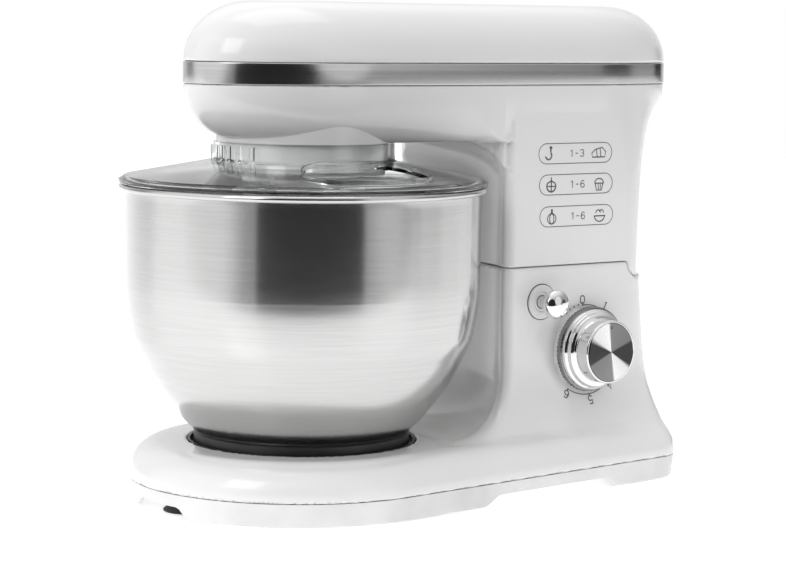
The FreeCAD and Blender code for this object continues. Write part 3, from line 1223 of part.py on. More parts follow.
def build():
    os.makedirs("parts", exist_ok=True)
    save("base_housing", make_base_housing())
    save("base_tray", make_base_tray())
    save("suction_feet", Part.makeCompound([make_foot(x, y) for x, y in FOOT_PLACES]))
    save("bowl_seat", make_bowl_seat())
    save("hinge_bracket", make_hinge_bracket())
    save("upright_frame", make_upright_frame())
    save("hinge_pin", rod_y(HINGE_PIN_R, -HINGE_PIN_HALF, HINGE_PIN_HALF, HINGE_X, HINGE_Z))
    save("hinge_plug", rod_y(HINGE_PIN_R - 0.02, HINGE_PIN_HALF + 0.6, 53.4, HINGE_X, HINGE_Z))
    save("tray_screws", Part.makeCompound(
        [screw(x, y, TRAY_FLOOR_Z - 0.1, 16.0, up=True) for x, y in TRAY_SCREW_PLACES]))
    save("speed_switch", make_speed_switch())
    save("control_board", make_control_board())
    save("cord_inlet", make_cord_inlet())
    save("terminal_block", make_terminal_block())
    save("interlock_switch", make_interlock_switch())
    save("lock_escutcheon", make_lock_escutcheon())
    save("lock_guide", make_lock_guide())
    save("lock_spring", make_lock_spring())
    save("lock_knob", make_lock_knob())
    save("lock_rod", make_lock_rod())
    save("knob_ring", make_knob_ring())
    save("knob_body", make_knob_body())
    save("knob_face", make_knob_face())
    save("switch_shaft", make_switch_shaft())

    save("head_top_cover", make_head_top_cover())
    save("trim_band", make_trim_band())
    save("head_lower_housing", make_head_lower_housing())
    save("hub_collar", make_hub_collar())
    save("ring_gear", make_ring_gear())
    save("gearbox_frame", make_gearbox_frame())
    save("gearbox_cover", make_gearbox_cover())
    save("shaft_bushes", make_bushes())
    save("chassis_plate", make_chassis_plate())
    save("motor_bracket_front", make_motor_bracket(78.0, 84.0, BALL_R))
    save("motor_bracket_rear", make_motor_bracket(176.5, 182.5, BALL_R))
    save("motor_bearings", make_motor_bearings())
    save("motor_stator", make_stator())
    save("field_coils", make_field_coils())
    save("brush_holders", make_brush_holders())
    save("carbon_brushes", make_carbon_brushes())
    save("latch_catch", make_latch_catch())
    save("head_screws", Part.makeCompound(
        [screw(x, y, CHASSIS_Z1, 8.0) for x, y in POST_PLACES]
        + [screw(x, side * 26, CHASSIS_Z1, 8.0) for x, side in LEDGE_PLACES]
        + [screw(x, y, 263.0, 8.0) for x, y in GEARBOX_PILLARS]))

    save("worm_shaft", make_worm_shaft())
    save("armature_core", make_armature())
    save("armature_windings", make_armature_windings())
    save("commutator", make_commutator())
    save("cooling_fan", make_cooling_fan())
    save("lay_shaft", make_lay_shaft())
    save("worm_wheel", make_worm_wheel())
    save("lay_pinion", make_lay_pinion())
    save("spur_gear", make_spur_gear())
    save("drive_shaft", make_drive_shaft())
    save("planet_carrier", make_planet_carrier())
    save("planet_pinion", make_planet_pinion())
    save("beater_spindle", make_beater_spindle())
    save("spindle_pin", rod_y(1.48, -8.5, 8.5, -PLANET_OFFSET, 182.0))
    save("flat_beater", make_flat_beater())
    save("splash_lid", make_splash_lid())
    save("mixing_bowl", make_mixing_bowl())
    save("bowl_foot_ring", make_bowl_foot_ring())


build()
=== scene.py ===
import json
import math

import bpy
import numpy as np
from bpy.props import FloatProperty, FloatVectorProperty, IntProperty, PointerProperty
from mathutils import Matrix, Vector


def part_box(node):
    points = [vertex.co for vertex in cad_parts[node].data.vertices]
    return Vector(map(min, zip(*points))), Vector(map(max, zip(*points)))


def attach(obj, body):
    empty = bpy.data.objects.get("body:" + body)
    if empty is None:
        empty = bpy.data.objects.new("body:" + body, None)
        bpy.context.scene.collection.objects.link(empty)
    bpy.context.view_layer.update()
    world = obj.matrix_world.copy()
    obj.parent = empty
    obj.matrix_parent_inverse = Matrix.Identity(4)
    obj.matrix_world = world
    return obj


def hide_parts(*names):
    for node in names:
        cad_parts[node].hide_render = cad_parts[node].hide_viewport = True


bl_info = {
    "name": "Stand mixer finish",
    "version": (1, 0, 0),
    "blender": (4, 5, 0),
    "location": "View3D > Sidebar > Mixer",
    "description": "Builds the shells, controls, materials and studio of a tilt-head stand mixer",
    "category": "Object",
}

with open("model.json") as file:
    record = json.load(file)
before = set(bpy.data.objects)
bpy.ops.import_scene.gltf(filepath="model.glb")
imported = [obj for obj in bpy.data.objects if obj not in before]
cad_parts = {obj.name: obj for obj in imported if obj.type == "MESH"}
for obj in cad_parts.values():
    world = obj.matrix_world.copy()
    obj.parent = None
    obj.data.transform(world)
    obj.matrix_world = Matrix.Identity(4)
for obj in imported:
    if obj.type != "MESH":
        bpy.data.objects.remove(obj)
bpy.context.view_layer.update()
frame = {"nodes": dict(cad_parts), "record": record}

# ---- places read from the frame, in metres ----
BOWL_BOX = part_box("mixing_bowl")
BAND_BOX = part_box("trim_band")
HEAD_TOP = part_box("head_top_cover")[1].z
SEAM_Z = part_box("base_housing")[1].z
AXIS_X = (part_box("bowl_seat")[0].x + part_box("bowl_seat")[1].x) / 2
BAND_Z0, BAND_Z1 = BAND_BOX[0].z, BAND_BOX[1].z
KNOB_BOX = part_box("knob_ring")
KNOB_X = (KNOB_BOX[0].x + KNOB_BOX[1].x) / 2 - AXIS_X
KNOB_Z = (KNOB_BOX[0].z + KNOB_BOX[1].z) / 2
LOCK_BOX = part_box("lock_escutcheon")
LOCK_X = (LOCK_BOX[0].x + LOCK_BOX[1].x) / 2 - AXIS_X
LOCK_Z = (LOCK_BOX[0].z + LOCK_BOX[1].z) / 2
HINGE_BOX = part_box("hinge_pin")
HINGE_X = (HINGE_BOX[0].x + HINGE_BOX[1].x) / 2 - AXIS_X
HINGE_Z = (HINGE_BOX[0].z + HINGE_BOX[1].z) / 2
MM = 0.001


# ======================= settings =======================

SHELL_SIZES = (
    # value, label, what it sets, metres
    ("head_half_width", "Head half width", "Half of the head's width at the trim band", 0.058),
    ("head_front_centre", "Head front centre",
     "Where the head's front half-ellipse starts", 0.010),
    ("head_rear_centre", "Head rear centre", "Where the head's rear half-ellipse starts", 0.193),
    ("head_front_reach", "Head front reach", "Length of the front half-ellipse", 0.092),
    ("head_rear_reach", "Head rear reach", "Length of the rear half-ellipse", 0.0955),
    ("end_round", "End round", "How far the head's ends draw in over their rounding", 0.044),
    ("top_side_round", "Top side round", "How far the top cover's sides draw in", 0.036),
    ("low_side_round", "Lower side round", "How far the underside's edges draw in", 0.020),
    ("head_bottom", "Underside height", "Height of the head's flat underside", 0.225),
    ("neck_fillet", "Neck fillet", "Hollow radius between the underside and the column", 0.026),
    ("base_front_radius", "Base front radius", "Radius of the base's round front", 0.106),
    ("base_front_centre", "Base front centre", "Centre of the base's round front", -0.0038),
    ("base_rear", "Base rear", "Where the base ends at the rear", 0.260),
    ("base_corner", "Base corner", "Radius of the base's rear corners", 0.024),
    ("base_top", "Base top", "Height of the platform under the bowl", 0.038),
    ("base_seam", "Base seam", "Height where the casing meets the bottom tray", 0.0155),
    ("base_shoulder", "Base shoulder", "Radius of the platform's outer edge", 0.020),
    ("column_half_width", "Column half width", "Half of the column's width above its foot", 0.058),
    ("column_rear", "Column rear", "Where the column's rear wall stands at the seam", 0.2415),
    ("column_corner", "Column corner", "Radius of the column's rear corners", 0.021),
    ("recess_radius", "Recess radius",
     "Radius of the column's hollow front, round the bowl", 0.1296),
    ("recess_fillet", "Recess fillet", "Hollow radius where the column meets the platform", 0.038),
    ("front_corner", "Front corner", "Radius of the column's front corners", 0.009),
    ("shell_step", "Shell mesh step", "Spacing of the mesh on the moulded shells", 0.002),
)


class MixerSizes(bpy.types.PropertyGroup):
    """Sizes of the moulded shells; x is measured from the bowl's axis."""
    __annotations__ = {
        key: FloatProperty(name=label, description=about, default=metres, unit="LENGTH")
        for key, label, about, metres in SHELL_SIZES}
    base_taper: FloatProperty(
        name="Base taper", description="Angle by which the base's sides close in",
        default=math.radians(5.66), subtype="ANGLE")
    round_steps: IntProperty(
        name="Round steps", description="Segments round the turned pieces",
        default=192, min=48, max=512)


class MixerColours(bpy.types.PropertyGroup):
    """Colours of the finishes."""
    shell: FloatVectorProperty(
        name="Shell white", description="Moulded gloss plastic of the casing",
        default=(0.87, 0.87, 0.867), subtype="COLOR", size=3)
    bowl: FloatVectorProperty(
        name="Bowl steel", description="Spun stainless steel of the bowl",
        default=(0.58, 0.58, 0.577), subtype="COLOR", size=3)
    band: FloatVectorProperty(
        name="Trim steel", description="Brushed trim band",
        default=(0.60, 0.60, 0.60), subtype="COLOR", size=3)
    print_ink: FloatVectorProperty(
        name="Print ink", description="Dial marks and pictograms",
        default=(0.10, 0.10, 0.105), subtype="COLOR", size=3)
    rubber: FloatVectorProperty(
        name="Rubber black", description="Suction feet",
        default=(0.018, 0.018, 0.019), subtype="COLOR", size=3)


def sizes():
    return bpy.context.scene.mixer_sizes


def colours():
    return bpy.context.scene.mixer_colours


# ======================= materials =======================

class Finish:
    """A material with a Principled shader, and short calls that add its nodes."""

    def __init__(self, name, colour, roughness, metallic=0.0, coat=0.0):
        self.material = bpy.data.materials.new(name)
        self.material.use_nodes = True
        self.tree = self.material.node_tree
        self.shader = self.tree.nodes["Principled BSDF"]
        self.output = self.tree.nodes["Material Output"]
        self.set("Base Color", (*colour, 1.0))
        self.set("Roughness", roughness)
        self.set("Metallic", metallic)
        self.set("Coat Weight", coat)
        self.height = None

    def set(self, socket, value):
        self.shader.inputs[socket].default_value = value

    def node(self, kind, **values):
        made = self.tree.nodes.new(kind)
        for key, value in values.items():
            setattr(made, key, value)
        return made

    def link(self, a, b):
        self.tree.links.new(a, b)

    def coords(self, scale=(1.0, 1.0, 1.0)):
        """Object coordinates in metres, stretched by scale."""
        source = self.node("ShaderNodeTexCoord")
        mapping = self.node("ShaderNodeMapping")
        mapping.inputs["Scale"].default_value = scale
        self.link(source.outputs["Object"], mapping.inputs["Vector"])
        return mapping.outputs["Vector"]

    def math(self, operation, *values):
        """A Math node on values, each a number or another node's output."""
        made = self.node("ShaderNodeMath", operation=operation)
        for socket, value in zip(made.inputs, values):
            if isinstance(value, (int, float)):
                socket.default_value = value
            else:
                self.link(value, socket)
        return made.outputs[0]

    def from_centre(self, centre, axis):
        """Two places across an axis and one along it, measured from centre."""
        source = self.node("ShaderNodeTexCoord")
        shift = self.node("ShaderNodeVectorMath", operation="SUBTRACT")
        shift.inputs[1].default_value = centre
        split = self.node("ShaderNodeSeparateXYZ")
        self.link(source.outputs["Object"], shift.inputs[0])
        self.link(shift.outputs[0], split.inputs[0])
        names = {"Z": ("X", "Y", "Z"), "Y": ("X", "Z", "Y")}[axis]
        return [split.outputs[name] for name in names]

    def polar(self, along, around, centre, axis="Z"):
        """Coordinates for grooves that run round an axis: fine along it and outwards."""
        across, up, deep = self.from_centre(centre, axis)
        flat = self.node("ShaderNodeCombineXYZ")
        self.link(across, flat.inputs["X"])
        self.link(up, flat.inputs["Y"])
        radius = self.node("ShaderNodeVectorMath", operation="LENGTH")
        self.link(flat.outputs[0], radius.inputs[0])
        whole = self.node("ShaderNodeCombineXYZ")
        self.link(self.math("MULTIPLY", radius.outputs["Value"], along), whole.inputs["X"])
        self.link(self.math("MULTIPLY", self.math("ARCTAN2", up, across), around),
                  whole.inputs["Y"])
        self.link(self.math("MULTIPLY", deep, along), whole.inputs["Z"])
        return whole.outputs[0]

    def noise(self, vector, scale, detail=4.0, rough=0.5):
        made = self.node("ShaderNodeTexNoise")
        made.inputs["Scale"].default_value = scale
        made.inputs["Detail"].default_value = detail
        made.inputs["Roughness"].default_value = rough
        self.link(vector, made.inputs["Vector"])
        return made.outputs["Fac"]

    def ranged(self, source, low, high, start=0.3, end=0.7):
        made = self.node("ShaderNodeMapRange")
        made.inputs["From Min"].default_value = start
        made.inputs["From Max"].default_value = end
        made.inputs["To Min"].default_value = low
        made.inputs["To Max"].default_value = high
        self.link(source, made.inputs["Value"])
        return made.outputs["Result"]

    def vary_roughness(self, source, low, high):
        self.link(self.ranged(source, low, high), self.shader.inputs["Roughness"])

    def vary_colour(self, source, first, second, start=0.3, end=0.7):
        mix = self.node("ShaderNodeMix", data_type="RGBA")
        mix.inputs["A"].default_value = (*first, 1.0)
        mix.inputs["B"].default_value = (*second, 1.0)
        self.link(self.ranged(source, 0.0, 1.0, start, end), mix.inputs["Factor"])
        self.link(mix.outputs["Result"], self.shader.inputs["Base Color"])

    def bump(self, source, depth, strength=1.0):
        """Adds relief; depth is in metres."""
        made = self.node("ShaderNodeBump")
        made.inputs["Strength"].default_value = strength
        made.inputs["Distance"].default_value = depth
        self.link(source, made.inputs["Height"])
        if self.height is not None:
            self.link(self.height, made.inputs["Normal"])
        self.height = made.outputs["Normal"]
        self.link(self.height, self.shader.inputs["Normal"])

    def brushed_tangent(self, axis):
        """Stretches highlights across grooves that run round an axis."""
        tangent = self.node("ShaderNodeTangent", direction_type="RADIAL", axis=axis)
        self.link(tangent.outputs[0], self.shader.inputs["Tangent"])


def shade(colour, factor):
    return tuple(min(1.0, c * factor) for c in colour)


def gloss_plastic(name, colour, roughness=0.16):
    """Moulded gloss plastic: faint mould flow, dust-fine haze and a clear skin."""
    made = Finish(name, colour, roughness, coat=0.35)
    made.set("Coat Roughness", 0.06)
    made.set("IOR", 1.5)
    flow = made.noise(made.coords((1.0, 1.0, 0.6)), 9.0, 3.0)
    haze = made.noise(made.coords(), 140.0, 5.0, 0.6)
    made.vary_colour(flow, shade(colour, 0.985), shade(colour, 1.01))
    made.vary_roughness(haze, roughness * 0.85, roughness * 1.25)
    made.bump(made.noise(made.coords(), 60.0, 2.0), 0.000012)
    return made.material


def satin_plastic(name, colour, roughness=0.42, grain=900.0):
    """Fine spark-eroded grain on moulded plastic."""
    made = Finish(name, colour, roughness)
    cloud = made.noise(made.coords(), 25.0, 3.0)
    fine = made.noise(made.coords(), grain, 3.0, 0.6)
    made.vary_colour(cloud, shade(colour, 0.90), shade(colour, 1.08))
    made.vary_roughness(cloud, roughness * 0.85, roughness * 1.15)
    made.bump(fine, 0.00006, 0.6)
    return made.material


def soft_rubber(name, colour):
    made = Finish(name, colour, 0.62)
    cloud = made.noise(made.coords(), 60.0, 4.0)
    made.vary_colour(cloud, shade(colour, 0.8), shade(colour, 1.9))
    made.vary_roughness(cloud, 0.5, 0.75)
    made.bump(made.noise(made.coords(), 700.0, 3.0), 0.00005, 0.7)
    return made.material


def straight_brushed(name, colour, roughness=0.17):
    """Metal brushed along the head: long fine streaks that lie level."""
    made = Finish(name, colour, roughness, metallic=1.0)
    streak = made.noise(made.coords((7.0, 7.0, 5200.0)), 1.0, 5.0, 0.62)
    broad = made.noise(made.coords((3.0, 3.0, 260.0)), 1.0, 3.0)
    made.vary_colour(broad, shade(colour, 0.88), shade(colour, 1.10))
    made.vary_roughness(streak, roughness * 0.75, roughness * 1.35)
    made.bump(streak, 0.00002, 0.5)
    return made.material


# Painted sheen: (angle in degrees, grey level) of the highlight wedges painted into the knob
# face's base colour.
PAINTED_SHEEN_WEDGES = ((-158.0, 0.06), (-154.0, 0.20), (-84.0, 0.26), (-79.0, 0.85), (-38.0, 0.70),
              (-30.0, 0.05), (18.0, 0.05), (24.0, 0.18), (94.0, 0.24), (99.0, 0.90), (146.0, 0.72),
              (158.0, 0.05))


def spun_metal(name, colour, centre, axis="Z", roughness=0.17, pitch=5200.0, stretch=0.75,
               turns=3.0):
    """Metal brushed round its axis, so highlights spread along it."""
    made = Finish(name, colour, roughness, metallic=1.0)
    made.set("Anisotropic", stretch)
    made.set("Anisotropic Rotation", 0.25)
    made.brushed_tangent(axis)
    groove = made.noise(made.polar(pitch, turns, centre, axis), 1.0, 5.0, 0.65)
    broad = made.noise(made.polar(pitch * 0.25, turns * 0.6, centre, axis), 1.0, 4.0)
    made.vary_colour(broad, shade(colour, 0.95), shade(colour, 1.04))
    made.vary_roughness(groove, roughness * 0.8, roughness * 1.2)
    made.bump(groove, 0.000008, 0.3)
    return made.material


def fan_spun(name, centre):
    """Fine facing-turned metal with painted sheen: bright and dark highlight wedges round its
    middle are painted into the base colour.
    """
    made = Finish(name, (0.6, 0.6, 0.61), 0.2, metallic=1.0)
    made.set("Anisotropic", 0.6)
    made.set("Anisotropic Rotation", 0.25)
    made.brushed_tangent("Y")
    across, up, _ = made.from_centre(centre, "Y")
    # Painted highlight: the base colour is a ramp of bright and dark wedges by angle round the
    # face's centre, so the sheen turns with the knob.
    share = made.ranged(made.math("ARCTAN2", up, across), 0.0, 1.0, -math.pi, math.pi)
    ramp = made.node("ShaderNodeValToRGB")
    stops = ramp.color_ramp.elements
    stops[0].position, stops[0].color = 0.0, (0.05, 0.05, 0.05, 1.0)
    stops[1].position, stops[1].color = 1.0, (0.05, 0.05, 0.05, 1.0)
    for degrees, level in PAINTED_SHEEN_WEDGES:
        stop = stops.new((degrees + 180.0) / 360.0)
        stop.color = (level, level, level * 1.01, 1.0)
    made.link(share, ramp.inputs["Fac"])
    made.link(ramp.outputs["Color"], made.shader.inputs["Base Color"])
    groove = made.noise(made.polar(9000.0, 1.0, centre, "Y"), 1.0, 5.0, 0.65)
    made.vary_roughness(groove, 0.14, 0.26)
    made.bump(groove, 0.000008, 0.3)
    return made.material


def bright_plate(name, colour=(0.82, 0.82, 0.83)):
    """Polished plating with faint handling haze."""
    made = Finish(name, colour, 0.07, metallic=1.0)
    haze = made.noise(made.coords(), 90.0, 4.0)
    made.vary_colour(haze, shade(colour, 0.97), shade(colour, 1.02))
    made.vary_roughness(haze, 0.045, 0.11)
    made.bump(made.noise(made.coords(), 40.0, 1.0), 0.00002, 0.3)
    return made.material


def worked_steel(name, colour, roughness=0.34, grain=(60.0, 60.0, 900.0)):
    """Rolled or ground steel with directional grain and faint tarnish."""
    made = Finish(name, colour, roughness, metallic=1.0)
    line = made.noise(made.coords(grain), 1.0, 4.0, 0.6)
    tarnish = made.noise(made.coords(), 30.0, 5.0)
    made.vary_colour(tarnish, shade(colour, 0.78), shade(colour, 1.06))
    made.vary_roughness(line, roughness * 0.7, roughness * 1.4)
    made.bump(line, 0.00002, 0.5)
    return made.material


def cast_metal(name, colour, roughness=0.45):
    """Die-cast or sintered metal: fine pitted skin with polished high spots."""
    made = Finish(name, colour, roughness, metallic=1.0)
    pits = made.noise(made.coords(), 420.0, 5.0, 0.7)
    cloud = made.noise(made.coords(), 35.0, 3.0)
    made.vary_colour(cloud, shade(colour, 0.82), shade(colour, 1.07))
    made.vary_roughness(pits, roughness * 0.7, roughness * 1.3)
    made.bump(pits, 0.00006, 0.7)
    return made.material


def wound_copper(name, colour):
    """Close-wound enamelled wire, with painted shade: the colour darkens in the grooves between
    turns and lightens on their crowns, in step with the bump.
    """
    made = Finish(name, colour, 0.28, metallic=1.0)
    wave = made.node("ShaderNodeTexWave", wave_type="BANDS", bands_direction="DIAGONAL")
    wave.inputs["Scale"].default_value = 420.0
    wave.inputs["Distortion"].default_value = 0.6
    made.link(made.coords(), wave.inputs["Vector"])
    # Painted shade and highlight: the colour follows the bump's bands, dark in the grooves and
    # light on the crowns.
    made.vary_colour(wave.outputs["Fac"], shade(colour, 0.45), shade(colour, 1.1), 0.0, 0.6)
    made.bump(wave.outputs["Fac"], 0.0003, 0.8)
    return made.material


def circuit_green(name, colour):
    """Lacquered board with pale traces."""
    made = Finish(name, colour, 0.3, coat=0.3)
    cells = made.node("ShaderNodeTexVoronoi", feature="DISTANCE_TO_EDGE")
    cells.inputs["Scale"].default_value = 260.0
    made.link(made.coords(), cells.inputs["Vector"])
    made.vary_colour(cells.outputs["Distance"], shade(colour, 2.2), colour, 0.02, 0.08)
    made.bump(cells.outputs["Distance"], 0.0001, 0.4)
    return made.material


def clear_plastic(name, tint=(0.965, 0.975, 0.975)):
    """Clear moulded lid: bends light, lets lamps through, and carries faint scuffs."""
    made = Finish(name, tint, 0.03)
    made.set("Transmission Weight", 1.0)
    made.set("IOR", 1.49)
    scuffs = made.noise(made.coords((1.0, 1.0, 1.0)), 160.0, 5.0, 0.7)
    made.vary_roughness(scuffs, 0.015, 0.05)
    made.bump(made.noise(made.coords(), 30.0, 2.0), 0.00003, 0.4)
    clear = made.node("ShaderNodeBsdfTransparent")
    clear.inputs["Color"].default_value = (*tint, 1.0)
    rays = made.node("ShaderNodeLightPath")
    mix = made.node("ShaderNodeMixShader")
    made.link(rays.outputs["Is Shadow Ray"], mix.inputs["Fac"])
    made.link(made.shader.outputs[0], mix.inputs[1])
    made.link(clear.outputs[0], mix.inputs[2])
    made.link(mix.outputs[0], made.output.inputs["Surface"])
    return made.material


def printed_ink(name, colour):
    """Pad-printed ink, slightly uneven."""
    made = Finish(name, colour, 0.45)
    cloud = made.noise(made.coords(), 800.0, 3.0)
    made.vary_colour(cloud, shade(colour, 0.8), shade(colour, 1.3))
    made.bump(cloud, 0.00001, 0.5)
    return made.material


def floor_sheet(name):
    """White studio sheet with a faint satin reflection."""
    made = Finish(name, (0.95, 0.95, 0.95), 0.22)
    made.set("Specular IOR Level", 0.5)
    made.set("Emission Color", (1.0, 1.0, 1.0, 1.0))
    made.set("Emission Strength", 0.42)
    cloud = made.noise(made.coords(), 1.5, 2.0)
    made.vary_roughness(cloud, 0.24, 0.34)
    return made.material


MATERIALS = {}


def build_materials():
    c = colours()
    axis_point = (AXIS_X, 0.0, 0.0)
    knob_point = (KNOB_X + AXIS_X, 0.0, KNOB_Z)
    MATERIALS.update({
        "white_gloss": gloss_plastic("shell_gloss_white", tuple(c.shell)),
        "white_satin": satin_plastic("tray_satin_white", shade(tuple(c.shell), 0.93), 0.34),
        "brushed_band": straight_brushed("trim_brushed_steel", tuple(c.band)),
        "bowl_steel": spun_metal("bowl_spun_steel", tuple(c.bowl), axis_point),
        "black_rubber": soft_rubber("feet_black_rubber", tuple(c.rubber)),
        "black_plastic": satin_plastic("moulded_black", (0.022, 0.022, 0.023), 0.38),
        "knob_chrome": bright_plate("knob_bright_plate"),
        "knob_grey": worked_steel("knob_ring_grey", (0.30, 0.30, 0.31), 0.24),
        "knob_spun": fan_spun("knob_spun_face_painted_sheen", knob_point),
        "lid_clear": clear_plastic("lid_clear_plastic"),
        "frame_steel": worked_steel("sheet_steel", (0.50, 0.51, 0.52)),
        "pin_steel": worked_steel("ground_steel", (0.60, 0.60, 0.61), 0.24, (300.0, 300.0, 40.0)),
        "gearbox_alloy": cast_metal("cast_alloy", (0.63, 0.63, 0.64)),
        "bronze": cast_metal("sintered_bronze", (0.60, 0.40, 0.18), 0.4),
        "copper": wound_copper("wound_copper", (0.62, 0.26, 0.11)),
        "carbon": satin_plastic("carbon_graphite", (0.05, 0.05, 0.052), 0.5, 500.0),
        "board_green": circuit_green("circuit_green", (0.02, 0.13, 0.06)),
        "fan_grey": satin_plastic("fan_grey_plastic", (0.14, 0.15, 0.16), 0.4),
        "ink": printed_ink("printed_ink", tuple(c.print_ink)),
        "floor": floor_sheet("studio_sheet"),
    })


# ======================= mesh helpers =======================

def add_mesh(name, points, faces, material, body, normals=None, smooth=True):
    """Makes a piece from points in the row frame and sets what it rides on."""
    mesh = bpy.data.meshes.new(name)
    mesh.from_pydata([tuple(p) for p in points], [], [tuple(int(i) for i in f) for f in faces])
    mesh.validate()
    mesh.update()
    mesh.shade_smooth() if smooth else mesh.shade_flat()
    if normals is not None:
        mesh.normals_split_custom_set_from_vertices([tuple(n) for n in normals])
    mesh.materials.append(MATERIALS[material])
    piece = bpy.data.objects.new(name, mesh)
    bpy.context.scene.collection.objects.link(piece)
    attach(piece, body)
    return piece


def sharpen(piece, angle=35.0):
    """Keeps edges crisp where two faces meet at more than angle."""
    piece.data.set_sharp_from_angle(angle=math.radians(angle))
    return piece


def ring_faces(rings, count, closed=True):
    """Quads between rings of count points; closed also joins the last ring to the first."""
    faces = []
    last = rings if closed else rings - 1
    for r in range(last):
        a, b = r * count, ((r + 1) % rings) * count
        for i in range(count):
            j = (i + 1) % count
            faces.append((a + i, a + j, b + j, b + i))
    return faces


def rounded(points, radius, steps=4):
    """Rounds each corner of a closed (r, z) outline; radius may be a list, one per corner."""
    count = len(points)
    radii = radius if isinstance(radius, (list, tuple)) else [radius] * count
    made = []
    for i, here in enumerate(points):
        here = Vector(here)
        before, after = Vector(points[i - 1]) - here, Vector(points[(i + 1) % count]) - here
        reach = min(radii[i], before.length * 0.48, after.length * 0.48)
        if reach < 1e-6:
            made.append(tuple(here))
            continue
        start, end = here + before.normalized() * reach, here + after.normalized() * reach
        for s in range(steps + 1):
            t = s / steps
            made.append(tuple(start * (1 - t) ** 2 + here * 2 * t * (1 - t) + end * t ** 2))
    return made


def turned(name, outline, material, body, centre=(0.0, 0.0), axis="Z", wave=None):
    """Solid of revolution from a closed (radius, height) outline, in metres."""
    count = sizes().round_steps
    points = []
    for r, h in outline:
        for i in range(count):
            a = 2 * math.pi * i / count
            radius = r + (wave(r, h, a) if wave else 0.0)
            u, v = radius * math.cos(a), radius * math.sin(a)
            if axis == "Z":
                points.append((AXIS_X + centre[0] + u, centre[1] + v, h))
            else:
                points.append((AXIS_X + centre[0] + u, h, centre[1] - v))
    piece = add_mesh(name, points, ring_faces(len(outline), count), material, body)
    area = sum(a[0] * b[1] - b[0] * a[1] for a, b in zip(outline, outline[1:] + outline[:1]))
    if area > 0:
        piece.data.flip_normals()
    return sharpen(piece)


# ---- moulded shells as the zero surface of a distance-like field ----

def join_round(a, b, radius):
    """Union of two fields with a hollow fillet."""
    inner = np.hypot(np.maximum(radius - a, 0), np.maximum(radius - b, 0))
    return np.maximum(radius, np.minimum(a, b)) - inner


def meet_round(a, b, radius):
    """Intersection of two fields with a rounded edge."""
    outer = np.hypot(np.maximum(radius + a, 0), np.maximum(radius + b, 0))
    return np.minimum(-radius, np.maximum(a, b)) + outer


def slope(field, x, y, z, reach=0.0004):
    """Unit outward direction and steepness of a field."""
    gx = field(x + reach, y, z) - field(x - reach, y, z)
    gy = field(x, y + reach, z) - field(x, y - reach, z)
    gz = field(x, y, z + reach) - field(x, y, z - reach)
    length = np.sqrt(gx ** 2 + gy ** 2 + gz ** 2) + 1e-12
    return gx / length, gy / length, gz / length, length / (2 * reach)


def eased(z, table, window=0.012):
    """Smooth curve through a table of (height, share) points."""
    heights = np.array([p[0] for p in table])
    shares = np.array([p[1] for p in table])
    grid = np.linspace(heights[0] - 0.03, heights[-1] + 0.03, 400)
    values = np.interp(grid, heights, shares)
    half = max(1, int(window / (grid[1] - grid[0])))
    kernel = np.hanning(2 * half + 1)
    kernel /= kernel.sum()
    padded = np.concatenate([np.full(half, values[0]), values, np.full(half, values[-1])])
    return np.interp(z, grid, np.convolve(padded, kernel, "valid"))


def mesh_of_field(field, low, high, step):
    """Quad mesh of the zero surface, drawn onto the surface, with its true normals."""
    axes = [np.arange(a - 1.5 * step, b + 2.0 * step, step) for a, b in zip(low, high)]
    grid = np.meshgrid(*axes, indexing="ij")
    values = field(*grid)
    shape = np.array(values.shape) - 1
    corners = {}
    for d in np.ndindex(2, 2, 2):
        cut = tuple(slice(d[k], d[k] + shape[k]) for k in range(3))
        corners[d] = values[cut]
    below = sum((c < 0).astype(np.int8) for c in corners.values())
    active = (below > 0) & (below < 8)
    index = np.full(active.shape, -1, np.int64)
    index[active] = np.arange(active.sum())
    total = np.zeros((active.sum(), 3))
    hits = np.zeros(active.sum())
    for axis in range(3):
        for d in np.ndindex(2, 2, 2):
            if d[axis] == 1:
                continue
            e = tuple(1 if k == axis else d[k] for k in range(3))
            va, vb = corners[d][active], corners[e][active]
            cross = (va < 0) != (vb < 0)
            share = va[cross] / (va[cross] - vb[cross])
            spot = np.tile(np.array(d, float), (cross.sum(), 1))
            spot[:, axis] += share
            total[cross] += spot
            hits[cross] += 1
    cells = np.argwhere(active)
    start = np.array([a[0] for a in axes])
    points = start + (cells + total / hits[:, None]) * step
    faces = []
    for axis in range(3):
        u, v = (axis + 1) % 3, (axis + 2) % 3
        size = [values.shape[k] - (1 if k == axis else 0) for k in range(3)]
        lead = [slice(1, size[k] - 1) if k != axis else slice(0, size[k]) for k in range(3)]
        first = values[tuple(lead)]
        ahead = list(lead)
        ahead[axis] = slice(1, values.shape[axis])
        second = values[tuple(ahead)]
        cross = np.argwhere((first < 0) != (second < 0))
        sign = (first < 0)[tuple(cross.T)]
        base = cross + np.array([0 if k == axis else 1 for k in range(3)])
        quad = []
        for du, dv in ((1, 1), (0, 1), (0, 0), (1, 0)):
            spot = base.copy()
            spot[:, u] -= du
            spot[:, v] -= dv
            quad.append(index[tuple(spot.T)])
        quad = np.stack(quad, 1)
        quad[~sign] = quad[~sign][:, ::-1]
        faces.append(quad)
    faces = np.concatenate(faces)
    for _ in range(6):
        x, y, z = points.T
        gx, gy, gz, steep = slope(field, x, y, z)
        move = np.clip(field(x, y, z) / np.maximum(steep, 0.2), -0.4 * step, 0.4 * step)
        points = points - np.stack([gx * move, gy * move, gz * move], 1)
    gx, gy, gz, _ = slope(field, *points.T)
    return points, faces, np.stack([gx, gy, gz], 1)


def shell(name, field, low, high, body, slot, step=None):
    """A moulded shell from a field whose x starts at the bowl's axis."""
    points, faces, normals = mesh_of_field(field, low, high, step or sizes().shell_step)
    points[:, 0] += AXIS_X
    return add_mesh(name, points, faces, slot, body, normals)


# ======================= shape of the casing =======================

